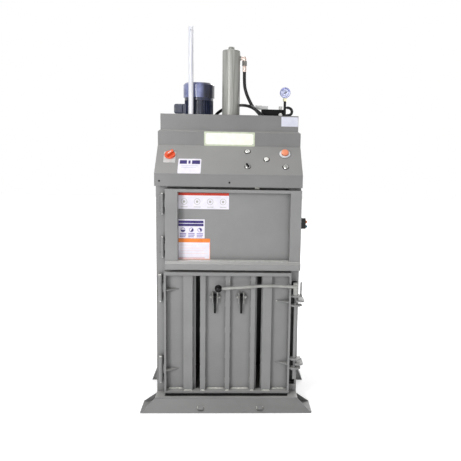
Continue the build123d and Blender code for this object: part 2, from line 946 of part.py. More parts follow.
# Fan cowl: a bevelled cup with air slots cut through its top
with BuildPart() as fan_cowl:
    with BuildSketch(Plane.XZ.offset(-motor_y)):
        with BuildLine():
            Polyline(
                (motor_x + motor_fin_radius, motor_top),
                (motor_x + cowl_radius, motor_top),
                (motor_x + cowl_radius, cowl_top - cowl_bevel),
                (motor_x + cowl_radius - cowl_bevel, cowl_top),
                (motor_x, cowl_top),
                (motor_x, cowl_top - cowl_sheet),
                (motor_x + cowl_radius - cowl_bevel - cowl_sheet / 2, cowl_top - cowl_sheet),
                (motor_x + cowl_radius - cowl_sheet, cowl_top - cowl_bevel - cowl_sheet / 2),
                (motor_x + cowl_radius - cowl_sheet, motor_top + cowl_sheet),
                (motor_x + motor_fin_radius, motor_top + cowl_sheet),
                close=True,
            )
        make_face()
    revolve(axis=Axis((motor_x, motor_y, 0), (0, 0, 1)))
    with BuildSketch(Plane.XY.offset(cowl_top)):
        with Locations((motor_x, motor_y)):
            with PolarLocations(cowl_radius / 2, cowl_slot_count):
                SlotOverall(cowl_radius / 2, cowl_slot_width)
    extrude(amount=-cowl_bevel / 2, mode=Mode.SUBTRACT)
write(fan_cowl.part, "fan_cowl")

# Fan with its shaft
with BuildPart() as motor_fan:
    with BuildSketch(Plane.XY.offset(fin_top + fan_shaft_gap)):
        with Locations((motor_x, motor_y)):
            Circle(fan_shaft_radius)
    extrude(amount=fan_bottom + fan_height - fin_top - fan_shaft_gap)
    with BuildSketch(Plane.XY.offset(fan_bottom)):
        with Locations((motor_x, motor_y)):
            Circle(fan_hub_radius)
            with PolarLocations(fan_hub_radius - fin_root, fan_blade_count):
                Rectangle(
                    fan_radius - fan_hub_radius + fin_root,
                    fin_thickness,
                    align=(Align.MIN, Align.CENTER),
                )
    extrude(amount=fan_height)
write(motor_fan.part, "motor_fan")

with BuildPart() as terminal_box:
    with BuildSketch(Plane.XY.offset(terminal_bottom)):
        with Locations((terminal_left, motor_y)):
            Rectangle(terminal_right - terminal_left, terminal_depth, align=(Align.MIN, Align.CENTER))
    extrude(amount=terminal_top - terminal_bottom)
    fillet(terminal_box.faces().sort_by(Axis.X)[0].edges().filter_by(Axis.Y), radius=terminal_round)
    fillet(terminal_box.edges().filter_by(Axis.Z), radius=terminal_edge_round)
write(terminal_box.part, "terminal_box")

# Valve block on its bracket, with the solenoid valve on top
block_x = (block_left + block_right) / 2
block_y = depth((block_front + block_back) / 2)
block_depth = block_back - block_front
with BuildPart() as valve_block:
    with BuildSketch(Plane.XY.offset(block_bottom)):
        with Locations((block_x, block_y)):
            Rectangle(block_right - block_left, block_depth)
    extrude(amount=block_top - block_bottom)
    chamfer(valve_block.edges().filter_by(Axis.X), length=block_bevel)
write(valve_block.part, "valve_block")

with BuildPart() as valve_bracket:
    with BuildSketch(Plane.XY.offset(head_top)):
        with Locations((block_x, block_y)):
            Rectangle(block_right - block_left, bracket_foot)
    extrude(amount=bracket_thickness)
    with BuildSketch(Plane.XY.offset(head_top)):
        with Locations((block_x, block_y)):
            Rectangle(block_right - block_left, bracket_thickness)
    extrude(amount=block_bottom - head_top)
    with BuildSketch(Plane.XY.offset(block_bottom)):
        with Locations((block_x, block_y)):
            Rectangle(block_right - block_left, bracket_foot)
    extrude(amount=-bracket_thickness)
write(valve_bracket.part, "valve_bracket")

with BuildPart() as solenoid:
    with BuildSketch(Plane.XY.offset(block_top)):
        with Locations((block_left, block_y)):
            Rectangle(solenoid_body_length, solenoid_body_width, align=(Align.MIN, Align.CENTER))
    extrude(amount=solenoid_height - solenoid_shoulder)
    with BuildSketch(Plane.YZ.offset(block_left)):
        with Locations((block_y, block_top + solenoid_height / 2)):
            RectangleRounded(solenoid_plug_width, solenoid_height, solenoid_plug_round)
    extrude(amount=-solenoid_plug_length)
write(solenoid.part, "solenoid")

# Pressure gauge: stem from the block, nut, case, dial glass and needle
gauge_x = block_right - stem_radius
stem_top = block_top + stem_rise
loop_top_z = block_top + loop_rise
loop_low_z = loop_top_z - loop_height
with BuildPart() as gauge_stem:
    with BuildSketch(Plane.XY.offset(block_top - stem_drop)):
        with Locations((gauge_x, gauge_y)):
            Circle(stem_radius)
    extrude(amount=stem_rise + stem_drop)
    with BuildSketch(Plane.XZ.offset(-gauge_y)):
        with Locations((gauge_x, block_top - stem_port_drop)):
            Circle(stem_radius)
    extrude(amount=gauge_y - depth(block_front))
    with BuildSketch(Plane.XY.offset(stem_top)):
        with Locations((gauge_x, gauge_y)):
            RegularPolygon(stem_nut_radius, 6)
    extrude(amount=gauge_z - gauge_radius - stem_top)
    for reach, level in ((loop_start, loop_top_z), (loop_end, loop_low_z)):
        with BuildSketch(Plane.YZ.offset(gauge_x)):
            with Locations((gauge_y, level)):
                Circle(loop_stub_radius)
        extrude(amount=reach)
write(gauge_stem.part, "gauge_stem")

gauge_front = gauge_y - gauge_thickness / 2
with BuildPart() as gauge_case:
    with BuildSketch(Plane.XZ.offset(-gauge_front)):
        with Locations((gauge_x, gauge_z)):
            Circle(gauge_radius)
    extrude(amount=-gauge_thickness)
    fillet(gauge_case.faces().sort_by(Axis.Y)[-1].edges(), radius=gauge_back_round)
    with BuildSketch(Plane.XZ.offset(-gauge_front)):
        with Locations((gauge_x, gauge_z)):
            Circle(gauge_radius - gauge_rim)
    extrude(amount=-gauge_face_depth, mode=Mode.SUBTRACT)
    with BuildSketch(Plane.XZ.offset(-gauge_front - gauge_face_depth)):
        with Locations((gauge_x, gauge_z)):
            Circle(needle_shaft_radius + shaft_clearance)
    extrude(amount=-gauge_face_depth, mode=Mode.SUBTRACT)
write(gauge_case.part, "gauge_case")

with BuildPart() as gauge_glass:
    with BuildSketch(Plane.XZ.offset(-gauge_front - glass_setback)):
        with Locations((gauge_x, gauge_z)):
            Circle(gauge_radius - gauge_rim)
    extrude(amount=-glass_thickness)
write(gauge_glass.part, "gauge_glass")

with BuildPart() as gauge_needle:
    needle_front = gauge_front + gauge_face_depth - needle_gap - needle_thickness
    needle_plane = Plane(
        origin=(gauge_x, needle_front, gauge_z),
        x_dir=(cos(radians(needle_angle)), 0, sin(radians(needle_angle))),
        z_dir=(0, -1, 0),
    )
    with BuildSketch(needle_plane):
        with BuildLine():
            Polyline(
                (-needle_tail, -needle_width),
                (-needle_tail, needle_width),
                (needle_length, needle_width / 4),
                (needle_length, -needle_width / 4),
                close=True,
            )
        make_face()
        Circle(needle_hub_radius)
    extrude(amount=-needle_thickness)
    with BuildSketch(needle_plane):
        Circle(needle_shaft_radius)
    extrude(amount=-gauge_face_depth)
write(gauge_needle.part, "gauge_needle")


# Hoses: straight runs joined by tangent arcs as large as their runs allow
def arc_radii(points):
    radii = []
    for before, at, after in zip(points, points[1:], points[2:]):
        first = Vector(at) - Vector(before)
        second = Vector(after) - Vector(at)
        run = min(first.length, second.length)
        turn = radians(first.get_angle(second))
        radii.append(0.45 * run / tan(turn / 2))
    return radii


def hose_path(name, points):
    radii = arc_radii(points)
    print(name, "arc radii", [round(radius, 1) for radius in radii])
    with BuildLine() as line:
        FilletPolyline(*points, radius=radii)
    return line


elbow_x = ram_x + tube_radius + port_reach + elbow_reach
head_hose_top = tube_top - head_hose_drop
head_hose_points = [
    (elbow_x, ram_y, head_hose_top),
    (elbow_x, ram_y, 1780),
    (elbow_x + 3, ram_y - 5, 1737),
    (elbow_x + 17, ram_y - 13, 1693),
    (elbow_x + 43, ram_y - 29, 1641),
    (elbow_x + 66, ram_y - 39, 1616),
    (elbow_x + 88, ram_y - 45, 1591),
    (elbow_x + 101, ram_y - 47, 1577),
]
low_hose_points = [
    (ram_x + tube_radius + 30, ram_y, lower_port_z),
    (ram_x + tube_radius + 60, ram_y + 1, 1358),
    (ram_x + tube_radius + 78, ram_y + 2, 1398),
    (ram_x + tube_radius + 85, ram_y + 3, 1446),
    (ram_x + tube_radius + 87, ram_y + 5, 1488),
    (ram_x + tube_radius + 92, ram_y + 7, 1526),
    (ram_x + tube_radius + 101, ram_y + 9, 1556),
]
tank_hose_points = [
    (tank_right - 30, depth(tank_back) - 30, tank_top + 24),
    (tank_right - 26, depth(tank_back) - 34, 1556),
    (tank_right, depth(tank_back) - 48, 1602),
    (tank_right + 48, depth(tank_back) - 74, 1633),
    (tank_right + 102, depth(tank_back) - 112, 1646),
    (tank_right + 141, depth(tank_back) - 160, 1646),
    (tank_right + 164, depth(tank_back) - 206, 1642),
    (tank_right + 185, depth(tank_back) - 240, 1636),
    (tank_right + 207, depth(tank_back) - 258, 1626),
    (tank_right + 229, depth(tank_back) - 265, 1610),
    (tank_right + 252, depth(tank_back) - 266, 1590),
    (tank_right + 288, depth(tank_back) - 266, 1556),
]
gauge_hose_points = [
    (gauge_x + loop_start, gauge_y, loop_top_z),
    (gauge_x + 23, gauge_y, loop_top_z),
    (gauge_x + 35, gauge_y + 1, loop_top_z - 6),
    (gauge_x + 41, gauge_y + 2, loop_top_z - 19),
    (gauge_x + 38, gauge_y + 1, loop_top_z - 32),
    (gauge_x + 27, gauge_y, loop_low_z),
    (gauge_x + loop_end, gauge_y, loop_low_z),
]
hoses = {
    name: hose_path(name, points).wire()
    for name, points in (
        ("head_hose", head_hose_points),
        ("low_hose", low_hose_points),
        ("tank_hose", tank_hose_points),
        ("gauge_hose", gauge_hose_points),
    )
}
with BuildPart() as hydraulic_hoses:
    for name in ("head_hose", "low_hose", "tank_hose"):
        with BuildSketch(Plane(origin=hoses[name] @ 0, z_dir=hoses[name] % 0)):
            Circle(hose_radius)
        sweep(path=hoses[name])
write(hydraulic_hoses.part, "hydraulic_hoses")

with BuildPart() as gauge_hose:
    with BuildSketch(Plane(origin=hoses["gauge_hose"] @ 0, z_dir=hoses["gauge_hose"] % 0)):
        Circle(gauge_hose_radius)
    sweep(path=hoses["gauge_hose"])
write(gauge_hose.part, "gauge_hose")

for part, radius, names in (
    (hydraulic_hoses.part, hose_radius, ("head_hose", "low_hose", "tank_hose")),
    (gauge_hose.part, gauge_hose_radius, ("gauge_hose",)),
):
    length = sum(hoses[name].length for name in names)
    print(*names, "volume", round(part.volume), "section times length", round(pi * radius**2 * length))

# Hose fittings: crimped ferrule in line with each hose end and the adapter it screws on,
# and the screw plugs of the valve block
with BuildPart() as hose_fittings:
    with BuildSketch(Plane.XY.offset(head_hose_top)):
        with Locations((elbow_x, ram_y)):
            Circle(ferrule_radius)
    extrude(amount=port_z - head_hose_top)
    with BuildSketch(Plane.XY.offset(head_hose_top + long_ferrule_length)):
        with Locations((elbow_x, ram_y)):
            RegularPolygon(nut_radius, 6)
    extrude(amount=nut_length)
    with BuildSketch(Plane.YZ.offset(ram_x + tube_radius + port_reach)):
        with Locations((ram_y, port_z)):
            Circle(ferrule_radius)
    extrude(amount=elbow_x - ram_x - tube_radius - port_reach)
    with Locations((elbow_x, ram_y, port_z)):
        Sphere(elbow_round)
    low_start = Vector(*low_hose_points[0])
    with BuildSketch(Plane(origin=low_start, z_dir=-(hoses["low_hose"] % 0))):
        Circle(ferrule_radius)
    extrude(amount=ferrule_length)
    with BuildSketch(Plane.YZ.offset(ram_x + tube_radius + port_reach)):
        with Locations((ram_y, lower_port_z)):
            Circle(ferrule_radius)
    extrude(amount=low_start.X - ferrule_length - ram_x - tube_radius - port_reach)
    for label, face in (
        ("head_hose", Plane.XZ.offset(-depth(block_front))),
        ("tank_hose", Plane.XZ.offset(-depth(block_front))),
        ("low_hose", Plane.YZ.offset(block_left)),
    ):
        end = hoses[label] @ 1
        joint = end + (hoses[label] % 1) * (ferrule_length + ferrule_gap)
        with BuildSketch(Plane(origin=end, z_dir=hoses[label] % 1)):
            Circle(ferrule_radius)
        extrude(amount=ferrule_length)
        with Locations(joint):
            Sphere(elbow_round)
        at = face.to_local_coords(joint)
        with BuildSketch(face):
            with Locations((at.X, at.Y)):
                Circle(hose_radius)
        extrude(amount=at.Z)
    tank_start = Vector(*tank_hose_points[0])
    with BuildSketch(Plane(origin=tank_start, z_dir=-(hoses["tank_hose"] % 0))):
        Circle(ferrule_radius)
    extrude(amount=ferrule_length)
    with BuildSketch(Plane.XY.offset(tank_top)):
        with Locations((tank_start.X, tank_start.Y)):
            RegularPolygon(nut_radius, 6)
    extrude(amount=tank_start.Z - tank_top - ferrule_length / 2)
    with BuildSketch(Plane.XY.offset(block_top)):
        with Locations((block_right - block_plug_inset, block_y)):
            RegularPolygon(ferrule_radius, 6)
    extrude(amount=block_plug_height)
    with BuildSketch(Plane.XZ.offset(-depth(block_front))):
        with Locations((block_right - front_plug_inset, block_top - front_plug_drop)):
            RegularPolygon(elbow_round, 6)
    extrude(amount=ferrule_radius)
write(hose_fittings.part, "hose_fittings")

# Operating panel: switch plate, bezels with their bodies through the panel, rings
with BuildPart() as switch_plate:
    with BuildSketch(panel):
        with Locations((main_switch_at[0], -main_switch_at[1] - switch_plate_drop)):
            RectangleRounded(switch_plate_width, switch_plate_length, switch_plate_corner)
        with Locations((main_switch_at[0], -main_switch_at[1])):
            Circle(switch_shaft_radius + shaft_clearance, mode=Mode.SUBTRACT)
    extrude(amount=switch_plate_thickness)
write(switch_plate.part, "switch_plate")

panel_axis = Axis(panel.origin, panel.z_dir)
with BuildPart() as control_bezels:
    with BuildSketch(panel):
        for x, down in round_controls:
            with Locations((x, -down)):
                Circle(bezel_radius)
    extrude(amount=bezel_height)
    bezel_tops = control_bezels.faces().filter_by(panel).sort_by(panel_axis)[-len(round_controls):]
    chamfer(bezel_tops.edges(), length=bezel_bevel)
    with BuildSketch(panel):
        with Locations((e_stop_at[0], -e_stop_at[1])):
            Circle(e_stop_ring_radius)
    extrude(amount=e_stop_ring_height)
    with BuildSketch(panel):
        for x, down in (*round_controls, e_stop_at):
            with Locations((x, -down)):
                Circle(panel_hole - fit_gap)
    extrude(amount=-bezel_body_length)
    with BuildSketch(panel.offset(e_stop_ring_height)):
        for x, down in (*round_controls, e_stop_at):
            with Locations((x, -down)):
                Circle(bezel_bore)
    extrude(amount=-e_stop_ring_height - bezel_body_length, mode=Mode.SUBTRACT)
write(control_bezels.part, "control_bezels")

cap_radius = bezel_bore - shaft_clearance
cap_depth = bezel_body_length - button_travel - button_proud
for label, (x, down), proud, lever in (
    ("start_button", start_button_at, bezel_height + button_proud, None),
    ("white_button", white_button_at, bezel_height + button_proud, None),
    (
        "selector_knob",
        selector_at,
        bezel_height + control_edge_round,
        (selector_lever_width, selector_lever_length, selector_lever_height, selector_turn),
    ),
    (
        "key_switch",
        key_switch_at,
        bezel_height + control_edge_round,
        (key_bow_width, key_bow_length, key_bow_height, 0),
    ),
):
    with BuildPart() as control:
        with BuildSketch(panel.offset(-cap_depth)):
            with Locations((x, -down)):
                Circle(cap_radius)
        extrude(amount=cap_depth + proud)
        fillet(control.faces().sort_by(panel_axis)[-1].edges(), radius=control_edge_round)
        if lever:
            width, length, height, turn = lever
            with BuildSketch(panel.offset(proud - control_edge_round)):
                with Locations(Location((x, -down), turn)):
                    SlotOverall(length, width, rotation=90)
            extrude(amount=height)
    write(control.part, label)

# Emergency stop: mushroom head on its stem
mushroom_gap = e_stop_ring_height + button_travel + control_edge_round
with BuildPart() as e_stop:
    with BuildSketch(panel.offset(-cap_depth)):
        with Locations((e_stop_at[0], -e_stop_at[1])):
            Circle(cap_radius)
    extrude(amount=cap_depth + mushroom_gap)
    with BuildSketch(panel.offset(mushroom_gap)):
        with Locations((e_stop_at[0], -e_stop_at[1])):
            Circle(e_stop_cap_radius)
    extrude(amount=e_stop_cap_height)
    fillet(e_stop.faces().sort_by(panel_axis)[-1].edges(), radius=e_stop_cap_round)
write(e_stop.part, "e_stop")

# Main switch: round base with a grip bar across it
with BuildPart() as main_switch:
    with BuildSketch(panel.offset(switch_plate_thickness)):
        with Locations((main_switch_at[0], -main_switch_at[1])):
            Circle(switch_disc_radius)
    extrude(amount=switch_disc_thickness)
    fillet(main_switch.faces().sort_by(panel_axis)[-1].edges(), radius=switch_disc_round)
    with BuildSketch(panel.offset(switch_plate_thickness + switch_disc_thickness)):
        with Locations((main_switch_at[0], -main_switch_at[1])):
            SlotOverall(
                2 * (switch_disc_radius - switch_grip_inset),
                switch_grip_width,
                rotation=switch_grip_turn,
            )
    extrude(amount=switch_grip_height)
    with BuildSketch(panel.offset(switch_plate_thickness)):
        with Locations((main_switch_at[0], -main_switch_at[1])):
            Circle(switch_shaft_radius)
    extrude(amount=-bezel_body_length)
write(main_switch.part, "main_switch")

# Feed door: one hat-shaped folded sheet with a bevelled bar along the bottom
panel_left = feed_left + feed_left_flange
panel_right = feed_right - feed_right_flange
panel_top = feed_top - feed_top_flange
with BuildPart() as feed_door:
    with BuildSketch(Plane.XZ.offset(-depth(feed_front))):
        with Locations((feed_left, feed_bottom)):
            Rectangle(feed_right - feed_left, feed_top - feed_bottom, align=(Align.MIN, Align.MIN))
    extrude(amount=feed_front - feed_back)
    with BuildSketch(Plane.XZ.offset(-depth(feed_front))):
        with Locations((panel_left, feed_bar_top)):
            Rectangle(panel_right - panel_left, panel_top - feed_bar_top, align=(Align.MIN, Align.MIN))
    extrude(amount=feed_front - feed_panel_front, mode=Mode.SUBTRACT)
    with BuildSketch(Plane.YZ.offset(feed_left)):
        with BuildLine():
            Polyline(
                (depth(feed_front), feed_bottom),
                (depth(feed_bar_front), feed_bottom),
                (depth(feed_bar_front), feed_bar_top - feed_bar_bevel),
                (depth(feed_bar_front + feed_bar_bevel), feed_bar_top),
                (depth(feed_front), feed_bar_top),
                close=True,
            )
        make_face()
    extrude(amount=feed_right - feed_left)
    with BuildSketch(Plane.XZ.offset(-depth(feed_back))):
        for left, right in (
            (feed_left + feed_sheet, panel_left - feed_sheet),
            (panel_right + feed_sheet, feed_right - feed_sheet),
        ):
            with Locations((left, feed_bottom + feed_sheet)):
                Rectangle(
                    right - left,
                    feed_top - feed_bottom - 2 * feed_sheet,
                    align=(Align.MIN, Align.MIN),
                )
        with Locations((panel_left, feed_bottom + feed_sheet)):
            Rectangle(
                panel_right - panel_left,
                feed_bar_top - feed_bottom - 2 * feed_sheet,
                align=(Align.MIN, Align.MIN),
            )
    extrude(amount=feed_back - feed_front - feed_sheet, mode=Mode.SUBTRACT)
    with BuildSketch(Plane.XZ.offset(-depth(feed_back))):
        with Locations((panel_left, feed_bar_top)):
            Rectangle(panel_right - panel_left, panel_top - feed_bar_top, align=(Align.MIN, Align.MIN))
    extrude(amount=feed_back - feed_panel_front - feed_sheet, mode=Mode.SUBTRACT)
write(feed_door.part, "feed_door")

# Bale door: flanged frame with its horizontal corner gussets
inner_left = bale_left + bale_flange
inner_right = bale_right - bale_flange
inner_bottom = bale_bottom + bale_flange
inner_top = bale_top - bale_top_flange
with BuildPart() as bale_door_frame:
    with BuildSketch(Plane.XZ.offset(-depth(bale_front))):
        with Locations((bale_left, bale_bottom)):
            Rectangle(bale_right - bale_left, bale_top - bale_bottom, align=(Align.MIN, Align.MIN))
        with Locations((inner_left, inner_bottom)):
            Rectangle(
                inner_right - inner_left,
                inner_top - inner_bottom,
                align=(Align.MIN, Align.MIN),
                mode=Mode.SUBTRACT,
            )
    extrude(amount=bale_front - bale_back)
    for edge, reach, low, high in (
        (inner_left, gusset_length, gusset_low_left, gusset_high_left),
        (inner_right, -gusset_length, gusset_low_right, gusset_high_right),
    ):
        for level in (bale_bottom + low, bale_top - high):
            with BuildSketch(Plane.XY.offset(level)):
                with BuildLine():
                    Polyline(
                        (edge, depth(bale_front + gusset_setback)),
                        (edge, depth(panel_front)),
                        (edge + reach, depth(panel_front)),
                        close=True,
                    )
                make_face()
            extrude(amount=plate)
write(bale_door_frame.part, "bale_door_frame")

# Bale door panel: strips with the strap slots between
with BuildPart() as bale_door_panel:
    edges = [inner_left, inner_right]
    for centre in slot_centres:
        edges += [centre - slot_width / 2, centre + slot_width / 2]
    edges.sort()
    with BuildSketch(Plane.XZ.offset(-depth(panel_front))):
        for left, right in zip(edges[0::2], edges[1::2]):
            with Locations((left, inner_bottom)):
                Rectangle(right - left, inner_top - inner_bottom, align=(Align.MIN, Align.MIN))
    extrude(amount=panel_front - bale_back)
write(bale_door_panel.part, "bale_door_panel")

# Upright ribs of folded channel on the panel
with BuildPart() as bale_door_ribs:
    with BuildSketch(Plane.XY.offset(inner_bottom)):
        for left, right in rib_spans:
            with Locations((left, depth(rib_front))):
                Rectangle(right - left, panel_front - rib_front, align=(Align.MIN, Align.MIN))
            with Locations((left + sheet, depth(rib_front) + sheet)):
                Rectangle(
                    right - left - 2 * sheet,
                    panel_front - rib_front - sheet,
                    align=(Align.MIN, Align.MIN),
                    mode=Mode.SUBTRACT,
                )
    extrude(amount=inner_top - inner_bottom)
write(bale_door_ribs.part, "bale_door_ribs")

# Hinges: three knuckles each, the outer two on the post and the middle one on the door
feed_hinge_bottoms = (feed_bottom + feed_hinge_low, feed_top - feed_hinge_high - feed_hinge_length)
bale_hinge_bottoms = (bale_bottom + bale_hinge_low, bale_top - bale_hinge_high - bale_hinge_length)
hinge_sets = (
    (
        feed_hinge_inset - half_body,
        feed_knuckle_radius,
        feed_pin_radius,
        feed_hinge_bottoms,
        feed_hinge_length,
        feed_left,
    ),
    (
        bale_hinge_inset - half_body,
        bale_knuckle_radius,
        bale_pin_radius,
        bale_hinge_bottoms,
        bale_hinge_length,
        bale_left,
    ),
)
with BuildPart() as post_knuckles:
    for x, radius, pin, bottoms, length, _ in hinge_sets:
        third = length / 3
        for start in [low + step for low in bottoms for step in (0, 2 * third)]:
            with BuildSketch(Plane.XY.offset(start)):
                with Locations((x, hinge_y)):
                    Circle(radius)
                    Rectangle(leaf_thickness, front_y - hinge_y, align=(Align.CENTER, Align.MIN))
                    Circle(pin + shaft_clearance, mode=Mode.SUBTRACT)
            extrude(amount=third)
write(post_knuckles.part, "post_knuckles")

for label, (x, radius, pin, bottoms, length, door_edge) in zip(
    ("feed_door_knuckles", "bale_door_knuckles"), hinge_sets
):
    with BuildPart() as knuckles:
        third = length / 3
        for low in bottoms:
            with BuildSketch(Plane.XY.offset(low + third + knuckle_gap)):
                with Locations((x, hinge_y)):
                    Circle(radius)
                    Rectangle(door_edge - x, leaf_thickness, align=(Align.MIN, Align.CENTER))
                    Circle(pin + shaft_clearance, mode=Mode.SUBTRACT)
            extrude(amount=third - 2 * knuckle_gap)
    write(knuckles.part, label)

with BuildPart() as hinge_pins:
    for x, radius, pin, bottoms, length, _ in hinge_sets:
        for low in bottoms:
            with BuildSketch(Plane.XY.offset(low - pin)):
                with Locations((x, hinge_y)):
                    Circle(pin)
            extrude(amount=length + 2 * pin)
            with BuildSketch(Plane.XY.offset(low + length)):
                with Locations((x, hinge_y)):
                    Circle(radius - pin_head_lip)
            extrude(amount=pin)
write(hinge_pins.part, "hinge_pins")

# Lugs on the door's closing edge carry the lock shaft; the top one has a stay pin
with BuildPart() as lock_lugs:
    for level in lug_levels:
        with BuildSketch(Plane.XY.offset(level - lug_thickness / 2)):
            with BuildLine():
                Polyline(
                    (bale_right, depth(lug_back)),
                    (bale_right, depth(bale_front)),
                    (lock_x - 2 * lock_radius, depth(lug_front)),
                    (lock_x + 2 * lock_radius, depth(lug_front)),
                    (lug_right, depth(bale_front)),
                    (lug_right, depth(lug_back)),
                    close=True,
                )
            make_face()
            with Locations((lock_x, lock_y)):
                Circle(lock_radius + shaft_clearance, mode=Mode.SUBTRACT)
        extrude(amount=lug_thickness)
    with BuildSketch(Plane.XY.offset(lug_levels[0])):
        with Locations((stay_pin_x, depth(stay_pin_setback))):
            Circle(stay_pin_radius)
    extrude(amount=stay_pin_top - lug_levels[0])
write(lock_lugs.part, "lock_lugs")

# Keepers: hooked plates on the right post that the shaft's solid half catches behind
keeper_throat = lock_x + lock_radius + keeper_gap
lock_front = lock_y - lock_radius
with BuildPart() as lock_keepers:
    for level in keeper_levels:
        with BuildSketch(Plane.XY.offset(level - keeper_thickness / 2)):
            with BuildLine():
                Polyline(
                    (half_body, depth(keeper_weld)),
                    (half_body, depth(0)),
                    (keeper_throat, depth(0)),
                    (keeper_throat, lock_front - shaft_clearance - 1),
                    (lock_x + keeper_gap / 2, lock_front - slide_clearance),
                    (lock_x + keeper_gap, lock_front - keeper_nose),
                    (keeper_right - keeper_bevel, lock_front - keeper_nose),
                    (keeper_right, lock_front),
                    (keeper_right, depth(keeper_weld - keeper_slope)),
                    (keeper_right - keeper_bevel, depth(keeper_weld)),
                    close=True,
                )
            make_face()
        extrude(amount=keeper_thickness)
write(lock_keepers.part, "lock_keepers")

# Lock shaft, cut to half its round at each keeper, with a retaining collar below
with BuildPart() as lock_shaft:
    with BuildSketch(Plane.XY.offset(lock_bottom)):
        with Locations((lock_x, lock_y)):
            Circle(lock_radius)
    extrude(amount=lock_top - lock_bottom)
    for level in keeper_levels:
        with BuildSketch(Plane.XY.offset(level - cut_height / 2)):
            with Locations(Location((lock_x, lock_y), lock_cut_angle)):
                Rectangle(3 * lock_radius, 3 * lock_radius, align=(Align.MAX, Align.CENTER))
        extrude(amount=cut_height, mode=Mode.SUBTRACT)
    with BuildSketch(Plane.XY.offset(lug_levels[-1] - lug_thickness / 2 - fit_gap)):
        with Locations((lock_x, lock_y)):
            Circle(lock_radius + collar_rim)
    extrude(amount=-lug_thickness)
write(lock_shaft.part, "lock_shaft")

# Lock handle: socket on the shaft and the long cranked bar
with BuildPart() as lock_handle:
    with BuildLine() as bar_line:
        FilletPolyline(
            (lock_x + handle_start, handle_y, handle_start_level),
            *[(lock_x - reach, handle_y, level) for reach, level in handle_bends],
            (knob_x + knob_flat + 3 * fit_gap, handle_y, handle_end_level),
            radius=handle_bend_radius,
        )
    with BuildSketch(Plane(origin=bar_line.wire() @ 0, z_dir=bar_line.wire() % 0)):
        Circle(handle_radius)
    sweep(path=bar_line.wire())
    with BuildSketch(Plane.XY.offset(lug_levels[0] + lug_thickness / 2 + fit_gap)):
        with Locations((lock_x, lock_y)):
            Circle(socket_radius)
    extrude(amount=lock_top - lug_levels[0] - lug_thickness / 2 - fit_gap)
    with BuildSketch(Plane.XY.offset(lug_levels[0] + lug_thickness / 2 + fit_gap)):
        with Locations((lock_x, lock_y)):
            Circle(lock_radius + shaft_clearance)
    extrude(amount=lock_top - lug_levels[0], mode=Mode.SUBTRACT)
write(lock_handle.part, "lock_handle")

with BuildPart() as handle_knob:
    with BuildSketch(Plane.XZ.offset(-handle_y)):
        with BuildLine():
            Line((knob_x - knob_radius, handle_end_level), (knob_x + knob_flat, handle_end_level))
            Line(
                (knob_x + knob_flat, handle_end_level),
                (knob_x + knob_flat, handle_end_level + knob_mouth),
            )
            ThreePointArc(
                (knob_x + knob_flat, handle_end_level + knob_mouth),
                (knob_x, handle_end_level + knob_radius),
                (knob_x - knob_radius, handle_end_level),
            )
        make_face()
    revolve(axis=Axis((knob_x, handle_y, handle_end_level), (1, 0, 0)))
write(handle_knob.part, "handle_knob")

# Strap clamps: cheeks with a cross pin on the door, and the hanging lever of each
cheek_bottom = clamp_pin_z - cheek_below
cheek_top = clamp_pin_z + cheek_above
clamp_centres = [
    (rib_spans[i][1] + rib_spans[i + 1][0]) / 2 + shift for i, shift in enumerate(clamp_shifts, 1)
]
with BuildPart() as clamp_cheeks:
    for centre in clamp_centres:
        with BuildSketch(Plane.XZ.offset(-depth(panel_front))):
            with Locations((centre - cheek_offset, cheek_bottom), (centre + cheek_offset, cheek_bottom)):
                Rectangle(cheek_thickness, cheek_top - cheek_bottom, align=(Align.CENTER, Align.MIN))
        extrude(amount=panel_front - cheek_front)
        with BuildSketch(Plane.YZ.offset(centre - clamp_pin_half)):
            with Locations((depth(-clamp_pin_depth), clamp_pin_z)):
                Circle(clamp_pin_radius)
        extrude(amount=2 * clamp_pin_half)
write(clamp_cheeks.part, "clamp_cheeks")

for label, centre in zip(("strap_lever_left", "strap_lever_right"), clamp_centres):
    with BuildPart() as lever:
        with BuildSketch(Plane.YZ.offset(centre - clamp_lever_width / 2)):
            with Locations((depth(-clamp_pin_depth), clamp_pin_z)):
                Circle(clamp_head_radius)
                Rectangle(
                    clamp_lever_depth,
                    clamp_lever_length,
                    align=(Align.CENTER, Align.MAX),
                )
                Circle(clamp_pin_radius + shaft_clearance, mode=Mode.SUBTRACT)
        extrude(amount=clamp_lever_width)
        fillet(lever.edges().filter_by(Axis.X).sort_by(Axis.Z)[:2], radius=clamp_lever_round)
    write(lever.part, label)

# Door interlock switch on the right post
with BuildPart() as interlock_switch:
    with BuildSketch(Plane.YZ.offset(half_body)):
        with Locations((depth(interlock_setback), feed_bottom + interlock_rise + interlock_height / 2)):
            RectangleRounded(interlock_depth, interlock_height, interlock_round)
    extrude(amount=interlock_reach)
write(interlock_switch.part, "interlock_switch")
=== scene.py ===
import bmesh
import bpy
from math import atan2, cos, pi, radians, sin, tau
from mathutils import Matrix, Vector


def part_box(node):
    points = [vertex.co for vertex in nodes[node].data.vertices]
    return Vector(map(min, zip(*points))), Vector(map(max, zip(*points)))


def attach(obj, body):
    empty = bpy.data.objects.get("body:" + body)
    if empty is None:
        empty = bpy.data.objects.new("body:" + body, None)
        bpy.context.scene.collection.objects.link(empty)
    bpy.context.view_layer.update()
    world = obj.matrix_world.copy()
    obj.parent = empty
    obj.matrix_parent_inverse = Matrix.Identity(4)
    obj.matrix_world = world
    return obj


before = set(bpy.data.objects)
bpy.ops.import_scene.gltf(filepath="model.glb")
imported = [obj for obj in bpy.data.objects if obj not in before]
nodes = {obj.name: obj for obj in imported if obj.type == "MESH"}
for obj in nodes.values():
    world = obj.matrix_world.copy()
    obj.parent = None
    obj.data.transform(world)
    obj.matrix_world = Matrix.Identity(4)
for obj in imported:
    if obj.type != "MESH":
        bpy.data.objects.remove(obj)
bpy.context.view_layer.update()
scene = bpy.context.scene
